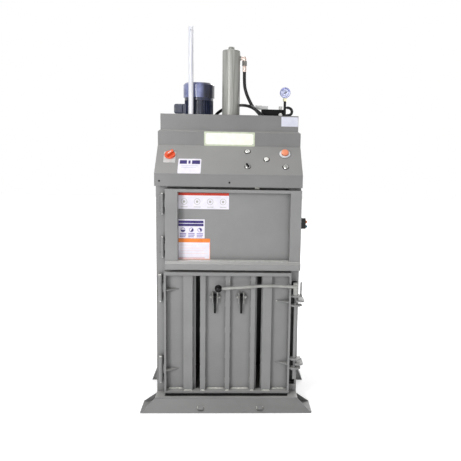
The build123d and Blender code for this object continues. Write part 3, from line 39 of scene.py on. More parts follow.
scene.view_settings.view_transform = "Standard"

# Places taken from the frame, in metres
post_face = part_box("posts")[0].y
hood_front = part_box("hood_cover")[0].y
feed_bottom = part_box("feed_door")[0].z
bale_door_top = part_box("bale_door_frame")[1].z
door_panel_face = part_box("bale_door_panel")[0].y
ribs_low, ribs_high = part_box("bale_door_ribs")
base_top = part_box("base_frame")[1].z
foot_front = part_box("front_foot")[0].y
gauge_low, gauge_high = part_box("gauge_case")
gauge_centre = (gauge_low + gauge_high) / 2
back_wall_low, back_wall_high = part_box("back_wall")
switch_low, switch_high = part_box("interlock_switch")
switch_middle = (switch_low + switch_high) / 2
cowl_low, cowl_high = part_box("fan_cowl")
cowl_middle = (cowl_low + cowl_high) / 2

# Sizes that the frame's boxes don't give, in metres; reach and setback count from the posts' face
fascia_setback = 0.100
tier_setback = 0.115
panel_top_height = 1.417
panel_bottom_height = 1.270
panel_reach = 0.067
feed_panel_reach = 0.012
feed_bar_height = 0.043
top_ferrule_height = 1.820
top_nut_height = 1.869
top_nut_half = 0.0135

# The photographer stood about 3.4 m away, a little right of the middle, with the lens at 1.4 m
camera_place = Vector((0.0343, post_face - 3.2791, 1.4034))
camera_pitch = radians(8.30)
camera_yaw = radians(2.65)
camera_roll = radians(1.04)
focal_pixels = 612.16
picture_width = 461
optical_centre = (262.78, 238.49)


def place_camera():
    """The photograph's camera, with its small shift as the crop left it."""
    lens = bpy.data.cameras.new("camera")
    lens.sensor_width = 36
    lens.lens = focal_pixels / picture_width * lens.sensor_width
    lens.shift_x = 0.5 - optical_centre[0] / picture_width
    lens.shift_y = optical_centre[1] / picture_width - 0.5
    forward = Vector((
        sin(camera_yaw) * cos(camera_pitch),
        cos(camera_yaw) * cos(camera_pitch),
        -sin(camera_pitch),
    ))
    level = Vector((cos(camera_yaw), -sin(camera_yaw), 0))
    upright = level.cross(forward)
    right = cos(camera_roll) * level + sin(camera_roll) * upright
    up = cos(camera_roll) * upright - sin(camera_roll) * level
    camera = bpy.data.objects.new("camera", lens)
    turn = Matrix((right, up, -forward)).transposed().to_4x4()
    camera.matrix_world = Matrix.Translation(camera_place) @ turn
    scene.collection.objects.link(camera)
    scene.camera = camera


def softbox(name, place, target, size, power):
    """A round soft lamp, aimed at its target."""
    lamp = bpy.data.lights.new(name, "AREA")
    lamp.shape = "DISK"
    lamp.size = size
    lamp.energy = power
    holder = bpy.data.objects.new(name, lamp)
    away = Vector(place) - Vector(target)
    turn = away.to_track_quat("Z", "Y").to_matrix().to_4x4()
    holder.matrix_world = Matrix.Translation(place) @ turn
    scene.collection.objects.link(holder)


place_camera()
machine_middle = (0, 0, 1.0)
# Place, target, size in metres and power in watts of each lamp
lamps = {
    "key_softbox": ((-2.0, -3.8, 1.9), machine_middle, 1.3, 92),
    "ceiling_softbox": ((-0.7, -0.8, 3.8), (-0.2, -0.1, 1.2), 0.7, 22),
    "fill_softbox": ((2.6, -3.4, 1.5), machine_middle, 2.2, 7),
    "front_softbox": ((0.2, -4.4, 1.2), machine_middle, 2.6, 20),
    "back_softbox": ((0.6, 3.4, 3.2), machine_middle, 2.0, 60),
    "side_softbox": ((3.8, 1.6, 1.4), machine_middle, 1.6, 18),
}
for name, (place, target, size, power) in lamps.items():
    softbox(name, place, target, size, power)


# Sizes of the finishes' patterns, in metres
tone_drift = 0.22
peel_dimple = 0.006
plate_wave = 0.09
corner_shade_reach = 0.035
plate_edge = 0.0018
drawing_streak = 0.007
tube_edge = 0.001
plating_cloud = 0.008
turned_edge = 0.0006
fitting_cloud = 0.009
ferrule_cloud = 0.011
moulding_cloud = 0.03
spark_grain = 0.0012
moulding_edge = 0.0007
film_ripple = 0.025
hose_cloud = 0.02
wrap_turn = 0.009
casting_cloud = 0.05
casting_sand = 0.003
casting_edge = 0.0012
cowl_light_cloud = 0.03
cowl_cloud = 0.04
cowl_edge = 0.0012
weld_ripple = 0.012


# Shader tools
def linear(hexcode):
    """Linear RGBA of an sRGB colour written as six hex digits."""
    channels = [int(hexcode[i:i + 2], 16) / 255 for i in (0, 2, 4)]
    return (*[c / 12.92 if c <= 0.04045 else ((c + 0.055) / 1.055) ** 2.4 for c in channels], 1)


def node(tree, kind, inputs=None, links=None, **settings):
    """One shader node with its settings, its plain inputs and what is linked into it. An input
    goes by its name or number: a mix node's are 0 for the share, 2 and 3 for two values, and 6
    and 7 for two colours."""
    made = tree.nodes.new(kind)
    for name, value in settings.items():
        setattr(made, name, value)
    for name, value in (inputs or {}).items():
        made.inputs[name].default_value = value
    for name, (source, output) in (links or {}).items():
        tree.links.new(source.outputs[output], made.inputs[name])
    return made


def finish_with(name, build):
    """A new material whose surface shader is what build makes in its tree."""
    material = bpy.data.materials.new(name)
    material.use_nodes = True
    material.node_tree.nodes.clear()
    shader = build(material.node_tree)
    node(material.node_tree, "ShaderNodeOutputMaterial", links={"Surface": (shader, 0)})
    return material


def mottled(tree, low, high, grain, detail=3, stretch=(1, 1, 1)):
    """Colour that drifts between two hex values in blotches of about grain metres."""
    where = node(tree, "ShaderNodeTexCoord")
    scaled = node(
        tree, "ShaderNodeMapping", {"Scale": [s / grain for s in stretch]},
        {"Vector": (where, "Object")},
    )
    blotch = node(
        tree, "ShaderNodeTexNoise", {"Scale": 1, "Detail": detail, "Roughness": 0.55},
        {"Vector": (scaled, 0)},
    )
    # The noise seldom leaves its middle band, which is spread to the full range
    spread = node(
        tree, "ShaderNodeMapRange", {"From Min": 0.32, "From Max": 0.68}, {"Value": (blotch, 0)}
    )
    mixed = node(
        tree, "ShaderNodeMix", {6: linear(low), 7: linear(high)}, {0: (spread, 0)}, data_type="RGBA"
    )
    return mixed, spread


def chamber_mask(tree):
    """One inside the baling chamber, zero on the outside of its walls."""
    margin = 0.0005
    where = node(tree, "ShaderNodeTexCoord")
    parts = node(tree, "ShaderNodeSeparateXYZ", links={"Vector": (where, "Object")})
    beside = node(tree, "ShaderNodeMath", {}, {0: (parts, "X")}, operation="ABSOLUTE")
    between = node(
        tree, "ShaderNodeMath", {1: back_wall_high.x + margin}, {0: (beside, 0)}, operation="LESS_THAN"
    )
    before = node(
        tree, "ShaderNodeMath", {1: back_wall_low.y + margin}, {0: (parts, "Y")}, operation="LESS_THAN"
    )
    return node(tree, "ShaderNodeMath", {}, {0: (between, 0), 1: (before, 0)}, operation="MULTIPLY")


def sprayed_enamel(light, dark, rough_low, rough_high, dust_and_top_light=0.4, shaded_inside=False):
    """Polyurethane machine enamel sprayed on welded steel plate: a semi-gloss skin with faint
    orange peel, softly rounded edges, and tone that drifts a little over the big sheets. The
    peel's dimples are 2 mm across on the machine, and drawn at 6 mm so that they show."""
    def build(tree):
        tone, blotch = mottled(tree, dark, light, tone_drift)
        if shaded_inside:
            # Painted shade: inside the baling chamber the colour goes nearly black, for the shade seen
            # through the door's slots
            tone = node(
                tree, "ShaderNodeMix", {7: linear("232322")},
                {0: (chamber_mask(tree), 0), 6: (tone, 2)}, data_type="RGBA",
            )
        where = node(tree, "ShaderNodeTexCoord")
        peel = node(
            tree, "ShaderNodeTexNoise", {"Scale": 1 / peel_dimple, "Detail": 2},
            {"Vector": (where, "Object")},
        )
        wave = node(
            tree, "ShaderNodeTexNoise", {"Scale": 1 / plate_wave, "Detail": 1},
            {"Vector": (where, "Object")},
        )
        edge = node(tree, "ShaderNodeBevel", {"Radius": plate_edge}, samples=6)
        peeled = node(
            tree, "ShaderNodeBump", {"Strength": 0.12, "Distance": 0.0004},
            {"Height": (peel, 0), "Normal": (edge, 0)},
        )
        waved = node(
            tree, "ShaderNodeBump", {"Strength": 0.3, "Distance": 0.0012},
            {"Height": (wave, 0), "Normal": (peeled, 0)},
        )
        # Painted shade: the colour darkens where plates meet and in hollows, as far as the occlusion
        # reaches
        corner = node(tree, "ShaderNodeAmbientOcclusion", {"Distance": corner_shade_reach}, samples=6)
        shade = node(
            tree, "ShaderNodeMapRange",
            {"From Min": 0.25, "From Max": 0.85, "To Min": 0.55, "To Max": 1},
            {"Value": (corner, "AO")},
        )
        corner_shaded = node(
            tree, "ShaderNodeVectorMath", {}, {0: (tone, 2), "Scale": (shade, 0)}, operation="SCALE"
        )
        # Painted top light: faces that look up are mixed towards pale grey, standing for light from
        # above as well as a settled dusting
        surface = node(tree, "ShaderNodeNewGeometry")
        facing = node(tree, "ShaderNodeSeparateXYZ", links={"Vector": (surface, "Normal")})
        lit_from_above = node(
            tree, "ShaderNodeMapRange", {"From Min": 0.2, "To Max": dust_and_top_light}, {"Value": (facing, "Z")}
        )
        dusted = node(
            tree, "ShaderNodeMix", {7: linear("c9c8c4")}, {0: (lit_from_above, 0), 6: (corner_shaded, 0)},
            data_type="RGBA",
        )
        gloss = node(
            tree, "ShaderNodeMapRange", {"To Min": rough_low, "To Max": rough_high},
            {"Value": (blotch, 0)},
        )
        return node(
            tree, "ShaderNodeBsdfPrincipled", {"IOR": 1.5},
            {"Base Color": (dusted, 2), "Roughness": (gloss, 0), "Normal": (waved, 0)},
        )
    return build


def drawn_steel(light, dark, rough, metallic):
    """Cold-drawn steel tube under lacquer: long streaks down the tube and a soft, stretched
    highlight."""
    def build(tree):
        tone, streak = mottled(tree, dark, light, drawing_streak, 2, (1, 1, 0.03))
        edge = node(tree, "ShaderNodeBevel", {"Radius": tube_edge}, samples=4)
        lines = node(
            tree, "ShaderNodeBump", {"Strength": 0.15, "Distance": 0.0003},
            {"Height": (streak, 0), "Normal": (edge, 0)},
        )
        gloss = node(
            tree, "ShaderNodeMapRange", {"To Min": rough - 0.06, "To Max": rough + 0.08},
            {"Value": (streak, 0)},
        )
        return node(
            tree, "ShaderNodeBsdfPrincipled", {"Metallic": metallic},
            {"Base Color": (tone, 2), "Roughness": (gloss, 0), "Normal": (lines, 0)},
        )
    return build


def bright_metal(light, dark, rough):
    """Turned metal, plain or plated: slightly cloudy, with a crisp but not mirror-like shine."""
    def build(tree):
        tone, cloud = mottled(tree, dark, light, plating_cloud)
        edge = node(tree, "ShaderNodeBevel", {"Radius": turned_edge}, samples=4)
        gloss = node(
            tree, "ShaderNodeMapRange", {"To Min": rough - 0.05, "To Max": rough + 0.1},
            {"Value": (cloud, 0)},
        )
        return node(
            tree, "ShaderNodeBsdfPrincipled", {"Metallic": 1},
            {"Base Color": (tone, 2), "Roughness": (gloss, 0), "Normal": (edge, 0)},
        )
    return build


def plated_fittings(tree):
    """Plated hose fittings: bright zinc on nuts and bodies, with a rosy chromate on the crimped
    ferrules of the top hose and a dull grey on the nut between them."""
    tone, cloud = mottled(tree, "a4a4a2", "dededc", fitting_cloud)
    rosy, _ = mottled(tree, "c4aea4", "e6d8d0", ferrule_cloud)
    where = node(tree, "ShaderNodeTexCoord")
    parts = node(tree, "ShaderNodeSeparateXYZ", links={"Vector": (where, "Object")})
    crimped = node(
        tree, "ShaderNodeMath", {1: top_ferrule_height}, {0: (parts, "Z")}, operation="GREATER_THAN"
    )
    on_nut = node(
        tree, "ShaderNodeMath", {1: top_nut_height, 2: top_nut_half}, {0: (parts, "Z")},
        operation="COMPARE",
    )
    coloured = node(
        tree, "ShaderNodeMix", {}, {0: (crimped, 0), 6: (tone, 2), 7: (rosy, 2)}, data_type="RGBA"
    )
    mixed = node(
        tree, "ShaderNodeMix", {7: linear("74726e")}, {0: (on_nut, 0), 6: (coloured, 2)},
        data_type="RGBA",
    )
    edge = node(tree, "ShaderNodeBevel", {"Radius": tube_edge}, samples=4)
    gloss = node(
        tree, "ShaderNodeMapRange", {"To Min": 0.26, "To Max": 0.42}, {"Value": (cloud, 0)}
    )
    return node(
        tree, "ShaderNodeBsdfPrincipled", {"Metallic": 0.6},
        {"Base Color": (mixed, 2), "Roughness": (gloss, 0), "Normal": (edge, 0)},
    )


def moulded_plastic(light, dark, rough, texture=0.05, shine=0.5):
    """Injection-moulded thermoplastic: even colour, rounded edges and a fine spark texture,
    drawn at 1.2 mm where the real one is a tenth of that."""
    def build(tree):
        tone, _ = mottled(tree, dark, light, moulding_cloud)
        where = node(tree, "ShaderNodeTexCoord")
        grain = node(
            tree, "ShaderNodeTexNoise", {"Scale": 1 / spark_grain, "Detail": 2},
            {"Vector": (where, "Object")},
        )
        edge = node(tree, "ShaderNodeBevel", {"Radius": moulding_edge}, samples=4)
        bump = node(
            tree, "ShaderNodeBump", {"Strength": texture, "Distance": 0.0002},
            {"Height": (grain, 0), "Normal": (edge, 0)},
        )
        return node(
            tree, "ShaderNodeBsdfPrincipled",
            {"Roughness": rough, "IOR": 1.5, "Specular IOR Level": shine},
            {"Base Color": (tone, 2), "Normal": (bump, 0)},
        )
    return build


def printed_film(light, dark):
    """Ink printed on vinyl film: even, satin, with the faint ripple of a film laid by hand."""
    def build(tree):
        tone, ripple = mottled(tree, dark, light, film_ripple)
        bump = node(
            tree, "ShaderNodeBump", {"Strength": 0.2, "Distance": 0.0002}, {"Height": (ripple, 0)}
        )
        return node(
            tree, "ShaderNodeBsdfPrincipled", {"Roughness": 0.55, "IOR": 1.46},
            {"Base Color": (tone, 2), "Normal": (bump, 0)},
        )
    return build


def hose_rubber(tree):
    """Synthetic rubber hose cover cured in a wound cloth wrap: black, with a dull shine broken
    by the wrap's turns. The real 1.5 mm turns are drawn at 9 mm so that they show."""
    tone, _ = mottled(tree, "070708", "161617", hose_cloud)
    where = node(tree, "ShaderNodeTexCoord")
    # At scale 1 the wave repeats each tau / 20
    turns = node(
        tree, "ShaderNodeTexWave", {"Scale": tau / 20 / wrap_turn, "Distortion": 1.2, "Detail": 1},
        {"Vector": (where, "Object")}, bands_direction="Z",
    )
    bump = node(
        tree, "ShaderNodeBump", {"Strength": 0.7, "Distance": 0.0012}, {"Height": (turns, "Fac")}
    )
    return node(
        tree, "ShaderNodeBsdfPrincipled", {"Roughness": 0.34, "IOR": 1.5, "Specular IOR Level": 0.3},
        {"Base Color": (tone, 2), "Normal": (bump, 0)},
    )


def gloss_paint(light, dark, rough, coat, shine=0.5):
    """Gloss enamel or oiled oxide over cast and forged steel: deep colour, a clear shine broken
    by the casting's sand, and rounded edges."""
    def build(tree):
        tone, _ = mottled(tree, dark, light, casting_cloud)
        where = node(tree, "ShaderNodeTexCoord")
        sand = node(
            tree, "ShaderNodeTexNoise", {"Scale": 1 / casting_sand, "Detail": 3},
            {"Vector": (where, "Object")},
        )
        edge = node(tree, "ShaderNodeBevel", {"Radius": casting_edge}, samples=4)
        bump = node(
            tree, "ShaderNodeBump", {"Strength": 0.18, "Distance": 0.0004},
            {"Height": (sand, 0), "Normal": (edge, 0)},
        )
        return node(
            tree, "ShaderNodeBsdfPrincipled",
            {
                "Roughness": rough, "IOR": 1.5, "Specular IOR Level": shine,
                "Coat Weight": coat, "Coat Roughness": 0.12,
            },
            {"Base Color": (tone, 2), "Normal": (bump, 0)},
        )
    return build


def lit_left_cowl(tree):
    """Sheet-steel fan cowl in navy gloss, with painted light: pale on its left as painted light and
    reflection, deep on its right as painted shade.
    """
    shade_start, shade_end = cowl_middle.x + 0.010, cowl_middle.x + 0.035
    pale, _ = mottled(tree, "5a618a", "8188b0", cowl_light_cloud)
    deep, _ = mottled(tree, "141728", "22263e", cowl_cloud)
    where = node(tree, "ShaderNodeTexCoord")
    parts = node(tree, "ShaderNodeSeparateXYZ", links={"Vector": (where, "Object")})
    across = node(
        tree, "ShaderNodeMapRange", {"From Min": shade_start, "From Max": shade_end},
        {"Value": (parts, "X")},
    )
    tone = node(
        tree, "ShaderNodeMix", {}, {0: (across, 0), 6: (pale, 2), 7: (deep, 2)}, data_type="RGBA"
    )
    edge = node(tree, "ShaderNodeBevel", {"Radius": cowl_edge}, samples=4)
    return node(
        tree, "ShaderNodeBsdfPrincipled",
        {"Roughness": 0.3, "IOR": 1.5, "Coat Weight": 0.5, "Coat Roughness": 0.12},
        {"Base Color": (tone, 2), "Normal": (edge, 0)},
    )


def rippled_skin(light, dark):
    """Painted weld beads and rubbed paint, with small ripples that catch the light and chalk pale on
    the welds where the paint rubs off; and a near-black rippled film that is painted shade."""
    def build(tree):
        tone, chalk = mottled(tree, dark, light, weld_ripple)
        gloss = node(
            tree, "ShaderNodeMapRange", {"To Min": 0.3, "To Max": 0.6}, {"Value": (chalk, 0)}
        )
        bump = node(
            tree, "ShaderNodeBump", {"Strength": 0.5, "Distance": 0.0006}, {"Height": (chalk, 0)}
        )
        return node(
            tree, "ShaderNodeBsdfPrincipled", {"IOR": 1.5},
            {"Base Color": (tone, 2), "Roughness": (gloss, 0), "Normal": (bump, 0)},
        )
    return build


def gauge_window(tree):
    """Clear acrylic gauge window: almost invisible but for its shine."""
    return node(
        tree, "ShaderNodeBsdfPrincipled",
        {"Base Color": linear("f4f6ff"), "Roughness": 0.03, "IOR": 1.49, "Transmission Weight": 1},
    )


def floor_paper(tree):
    """White paper sweep: plain white further out, with the machine's soft shadow close by."""
    shadow_reach, white_reach = 0.55, 1.5
    light = node(tree, "ShaderNodeLightPath")
    seen = node(
        tree, "ShaderNodeMath", {}, {0: (light, "Is Camera Ray"), 1: (light, "Is Glossy Ray")},
        operation="MAXIMUM",
    )
    where = node(tree, "ShaderNodeTexCoord")
    reach = node(tree, "ShaderNodeVectorMath", {}, {0: (where, "Object")}, operation="LENGTH")
    level = node(
        tree, "ShaderNodeMapRange",
        {"From Min": shadow_reach, "From Max": white_reach, "To Min": 0.42, "To Max": 1},
        {"Value": (reach, "Value")},
    )
    glow = node(
        tree, "ShaderNodeMath", {}, {0: (seen, 0), 1: (level, 0)}, operation="MULTIPLY"
    )
    return node(
        tree, "ShaderNodeBsdfPrincipled",
        {"Base Color": linear("f6f6f6"), "Roughness": 0.9, "Emission Color": (1, 1, 1, 1)},
        {"Emission Strength": (glow, 0)},
    )


# Finishes: a lighter and a darker tone first, then how rough or glossy
finishes = {
    name: finish_with(name, build)
    for name, build in {
        # Sprayed sheet and plate: mid grey, worn on the clamps; the hood's and foot's copies are a
        # little darker, as painted shade
        "grey_machine_enamel": sprayed_enamel("868686", "7d7d7d", 0.3, 0.44),
        "hood_shaded_enamel": sprayed_enamel("787878", "6f6f6f", 0.3, 0.44, 0.30),
        "foot_shaded_enamel": sprayed_enamel("767676", "666666", 0.34, 0.5, 0.1),
        "worn_clamp_enamel": sprayed_enamel("9c9c99", "7c7c7a", 0.4, 0.55),
        # Painted shade: this copy is nearly black inside the chamber
        "chamber_shaded_enamel": sprayed_enamel("868686", "7d7d7d", 0.3, 0.44, shaded_inside=True),
        # Tubes: the white one hides its steel, the grey one lets a little of it through
        "white_tube_enamel": drawn_steel("eaeaee", "c6c8d2", 0.34, 0),
        "lacquered_drawn_tube": drawn_steel("a2a29e", "868681", 0.4, 0.15),
        # Turned and plated metal: chrome is the sharpest mirror, zinc and brass are softer
        "hard_chrome": bright_metal("f2f2f2", "e4e4e4", 0.12),
        "bezel_chrome": bright_metal("ececea", "d2d2ce", 0.2),
        "zinc_plated_steel": bright_metal("cfcfcd", "b2b2ae", 0.3),
        "turned_brass": bright_metal("d8c690", "b89a4a", 0.28),
        "pale_brass_plate": bright_metal("e9e6cf", "d3cda8", 0.34),
        "turned_copper": bright_metal("c98a6a", "9c5a40", 0.3),
        "plated_fittings": plated_fittings,
        # Castings, forgings and their paint: silver, navy, black, and the gauge's lavender rim
        "silver_handle_enamel": gloss_paint("a4a4a0", "8c8c8a", 0.34, 0.25),
        "navy_motor_enamel": gloss_paint("26304e", "141a34", 0.3, 0.5),
        # Painted light: the cowl is painted pale on its left and deep on its right
        "cowl_lit_left_enamel": lit_left_cowl,
        "black_oxide": gloss_paint("0b0b0c", "050506", 0.42, 0, 0.14),
        "gauge_rim_enamel": gloss_paint("b4b8dc", "8f94bc", 0.3, 0.4),
        # Rubber and moulded plastics: glossy phenolic, satin nylon, and a dull dial card
        "black_hose_rubber": hose_rubber,
        "black_phenolic": moulded_plastic("09090a", "040405", 0.16, 0, 0.2),
        "orange_red_nylon": moulded_plastic("ea6a40", "dc5028", 0.34),
        "salmon_nylon": moulded_plastic("f29c78", "ec845c", 0.3),
        "frosted_nylon": moulded_plastic("e2e6ea", "d2d6dc", 0.3),
        "white_nylon": moulded_plastic("eeeeea", "e2e2de", 0.3),
        "pale_grey_nylon": moulded_plastic("c9cac9", "b4b5b4", 0.36),
        "mid_grey_nylon": moulded_plastic("8f9090", "7c7d7d", 0.36),
        "teal_nylon": moulded_plastic("5b7c86", "3f5f6c", 0.36),
        "dial_card": moulded_plastic("e9ebfb", "dcdff5", 0.5),
        "gauge_window": gauge_window,
        # Printed films: flat satin ink, each a shade apart from its neighbour
        "printed_blue": printed_film("7d86d8", "6c76cc"),
        "label_white": printed_film("eeebf4", "e4e0ec"),
        "label_cream": printed_film("f4f4ea", "eceee0"),
        "label_sage": printed_film("c8cfb8", "b6bea6"),
        "label_lavender": printed_film("d6d7e4", "c9cad9"),
        "label_red": printed_film("cf3d28", "bf3420"),
        "label_violet": printed_film("3b2f78", "2e245f"),
        "label_lilac": printed_film("9a90c4", "8a80b8"),
        "label_orange": printed_film("f08c3c", "e67c2c"),
        "label_pink": printed_film("eedfe3", "e6d4da"),
        "label_grey": printed_film("b9b8b4", "a9a8a4"),
        "label_ink": printed_film("6a6a6c", "565658"),
        # Welds and rubbed paint pale where metal or chalk shows; a nearly black film that is painted
        # shade
        "rubbed_lit_ledge": rippled_skin("dcdcd8", "bdbdb9"),
        "chalky_weld": rippled_skin("e6e5dc", "a8a8a2"),
        "painted_weld": rippled_skin("a4a4a2", "828280"),
        "black_shade_film": rippled_skin("161614", "0a0a09"),
    }.items()
}

# Finish of each node that isn't plain grey enamel
node_finishes = {
    "hood_cover": "hood_shaded_enamel",
    "front_foot": "foot_shaded_enamel",
    "indicator_rod": "white_tube_enamel",
    "cylinder_tube": "lacquered_drawn_tube",
    "cylinder_flange": "lacquered_drawn_tube",
    "ram_rod": "hard_chrome",
    "head_bushes": "turned_brass",
    "hinge_pins": "zinc_plated_steel",
    "motor_housing": "navy_motor_enamel",
    "fan_cowl": "cowl_lit_left_enamel",
    "terminal_box": "navy_motor_enamel",
    "motor_fan": "black_phenolic",
    "valve_block": "black_oxide",
    "solenoid": "pale_grey_nylon",
    "gauge_stem": "black_oxide",
    "gauge_case": "gauge_rim_enamel",
    "gauge_glass": "gauge_window",
    "gauge_needle": "black_phenolic",
    "hydraulic_hoses": "black_hose_rubber",
    "gauge_hose": "black_hose_rubber",
    "hose_fittings": "plated_fittings",
    "filler_cap": "black_phenolic",
    "control_bezels": "bezel_chrome",
    "start_button": "white_nylon",
    "white_button": "white_nylon",
    "selector_knob": "black_phenolic",
    "key_switch": "zinc_plated_steel",
    "e_stop": "salmon_nylon",
    "main_switch": "orange_red_nylon",
    "switch_plate": "pale_grey_nylon",
    "lock_handle": "silver_handle_enamel",
    "handle_knob": "black_phenolic",
    "strap_lever_left": "black_oxide",
    "strap_lever_right": "black_oxide",
    "clamp_cheeks": "worn_clamp_enamel",
    "interlock_switch": "black_phenolic",
    "back_wall": "chamber_shaded_enamel",
    "side_walls": "chamber_shaded_enamel",
    "chamber_floor": "chamber_shaded_enamel",
    "platen": "chamber_shaded_enamel",
}
for name, solid in nodes.items():
    solid.data.materials.clear()
    solid.data.materials.append(finishes[node_finishes.get(name, "grey_machine_enamel")])


# Mesh tools
def put(name, draw, finish_names, body="frame", smooth=35):
    """Makes a piece of what draw adds to a mesh, in its finishes, riding on the body. Edges
    sharper than smooth degrees stay crisp."""
    mesh = bpy.data.meshes.new(name)
    bm = bmesh.new()
    draw(bm)
    bmesh.ops.recalc_face_normals(bm, faces=bm.faces)
    bm.to_mesh(mesh)
    bm.free()
    for finish_name in finish_names:
        mesh.materials.append(finishes[finish_name])
    mesh.shade_smooth()
    mesh.set_sharp_from_angle(angle=radians(smooth))
    made = bpy.data.objects.new(name, mesh)
    scene.collection.objects.link(made)
    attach(made, body)


def facing_front(x, y, z):
    """A place on a face that looks to the front: right, up, and out towards the viewer."""
    return Matrix(((1, 0, 0, x), (0, 0, -1, y), (0, 1, 0, z), (0, 0, 0, 1)))


def facing_up(x, y, z):
    """A place on a level face: right, back, and up out of it."""
    return Matrix.Translation((x, y, z))


def facing_side(x, y, z, side):
    """A place on a face that looks to one side: side is 1 for right and -1 for left."""
    return Matrix(((0, 0, side, x), (side, 0, 0, y), (0, 1, 0, z), (0, 0, 0, 1)))


panel_top = Vector((0, post_face + fascia_setback, panel_top_height))
panel_bottom = Vector((0, post_face - panel_reach, panel_bottom_height))
panel_slope = atan2(panel_top.z - panel_bottom.z, panel_top.y - panel_bottom.y)
up_panel = Vector((0, cos(panel_slope), sin(panel_slope)))
off_panel = Vector((0, -sin(panel_slope), cos(panel_slope)))


def on_panel(x, down, lift=0):
    """A place on the sloped operating panel: across, down the slope from its top edge, and off it."""
    at = panel_top - up_panel * down + off_panel * lift
    return Matrix((
        (1, 0, 0, x),
        (0, up_panel.y, off_panel.y, at.y),
        (0, up_panel.z, off_panel.z, at.z),
        (0, 0, 0, 1),
    ))


def add_prism(bm, place, outline, low, high, finish=0, edge=0):
    """A closed prism over an outline, with an edge bevel on its outer face if wanted."""
    count = len(outline)
    centre = Vector([sum(values) / count for values in zip(*outline)])
    bottom = [bm.verts.new(place @ Vector((x, y, low))) for x, y in outline]
    rings = [bottom]
    if edge:
        rings.append([bm.verts.new(place @ Vector((x, y, high - edge))) for x, y in outline])
    top = []
    for x, y in outline:
        inward = Vector((x, y)) - centre
        inward.length = max(inward.length - edge, 0)
        top.append(bm.verts.new(place @ Vector((*(centre + inward), high))))
    rings.append(top)
    made = [bm.faces.new(bottom[::-1]), bm.faces.new(top)]
    for lower, upper in zip(rings, rings[1:]):
        for i in range(count):
            j = (i + 1) % count
            made.append(bm.faces.new((lower[i], lower[j], upper[j], upper[i])))
    for face in made:
        face.material_index = finish


def rounded(width, height, radius, at=(0, 0), steps=4):
    """Outline of a rounded rectangle about a point."""
    points = []
    for quarter, (sx, sy) in enumerate(((1, 1), (-1, 1), (-1, -1), (1, -1))):
        for step in range(steps + 1):
            angle = (quarter + step / steps) * pi / 2
            points.append((
                at[0] + sx * (width / 2 - radius) + radius * cos(angle),
                at[1] + sy * (height / 2 - radius) + radius * sin(angle),
            ))
    return points


def disc(radius, at=(0, 0), count=24, start=0, sweep=tau):
    """Outline of a round, or of a segment of it when the sweep is short of a full turn."""
    corners = count if sweep >= tau else count + 1
    angles = [start + sweep * i / count for i in range(corners)]
    return [(at[0] + radius * cos(angle), at[1] + radius * sin(angle)) for angle in angles]


def add_lathe(bm, place, profile, count=24, finish=0, closed=False):
    """A turned form: profile of (radius, height) from the axis out and back to it, or a closed
    profile that stays off the axis, for a ring."""
    rings = []
    for radius, height in profile:
        if radius == 0:
            rings.append([bm.verts.new(place @ Vector((0, 0, height)))])
        else:
            rings.append([
                bm.verts.new(place @ Vector((
                    radius * cos(tau * i / count), radius * sin(tau * i / count), height
                )))
                for i in range(count)
            ])
    followers = rings[1:] + rings[:1] if closed else rings[1:]
    for lower, upper in zip(rings, followers):
        for i in range(count):
            j = (i + 1) % count
            corners = [
                lower[i % len(lower)], lower[j % len(lower)],
                upper[j % len(upper)], upper[i % len(upper)],
            ]
            # Where a ring is one vertex on the axis, its two corners are the same
            face = bm.faces.new(list(dict.fromkeys(corners)))
            face.material_index = finish


def add_ring(bm, place, inner, outer, low, high, finish=0, count=32, edge=0):
    """A flat ring with a bevel on its outer top edge if wanted."""
    profile = [(inner, low), (inner, high)]
    profile += [(outer - edge, high), (outer, high - edge)] if edge else [(outer, high)]
    profile.append((outer, low))
    add_lathe(bm, place, profile, count, finish, closed=True)


# Placards: thin printed plates with fields of colour, never lettering
film = 0.0006
ink = 0.00025
rivet_head = [(0, 0), (0.003, 0), (0.0027, 0.0008), (0.0015, 0.0014), (0, 0.0016)]
feed_panel_face = post_face - feed_panel_reach


def placard(name, place, size, finish_names, fields=(), corner=0.002, body="frame", rivets=()):
    """A plate with fields on it. A field is an outline, measured from the plate's middle, and the
    index of its finish. A ring is (x, y, inner, outer) in place of an outline."""
    def draw(bm):
        add_prism(bm, place, rounded(*size, corner), 0, film, 0, film / 3)
        for layer, (shape, finish) in enumerate(fields):
            # Neighbours differ a little in height, so that no two faces lie in one plane
            top = film + ink * (1 + layer % 3 / 2)
            if isinstance(shape, tuple):
                x, y, inner, outer = shape
                middle = place @ Matrix.Translation((x, y, 0))
                add_ring(bm, middle, inner, outer, film, top, finish, 20)
            else:
                add_prism(bm, place, shape, film, top, finish)
        for x, y in rivets:
            seat = place @ Matrix.Translation((x, y, film))
            add_lathe(bm, seat, rivet_head, 12, len(finish_names) - 1)
    put(name, draw, finish_names, body)


def bar(x0, y0, x1, y1):
    """Outline of a rectangle between two corners."""
    return [(x0, y0), (x1, y0), (x1, y1), (x0, y1)]


def upper_placard():
    """A red band over four ringed pictures, each with a grey caption bar."""
    width, height = 0.2695, 0.0865
    red_band = 0.014
    picture_pitch = 0.0690
    picture_middle = -0.004
    picture = 0.012
    ring_inner, ring_outer = 0.0145, 0.0168
    caption_low, caption_high, caption_half = -0.034, -0.031, 0.018
    fields = [(bar(-width / 2, height / 2 - red_band, width / 2, height / 2), 1)]
    for i in range(4):
        x = (i - 1.5) * picture_pitch
        fields += [
            ((x, picture_middle, ring_inner, ring_outer), 2),
            (rounded(picture, picture, picture / 4, (x, picture_middle)), 2),
            (bar(x - caption_half, caption_low, x + caption_half, caption_high), 2),
        ]
    placard(
        "upper_placard", facing_front(-0.1335, feed_panel_face, 1.1246), (width, height),
        ["label_white", "label_red", "label_grey"], fields, body="feed_door_body",
    )


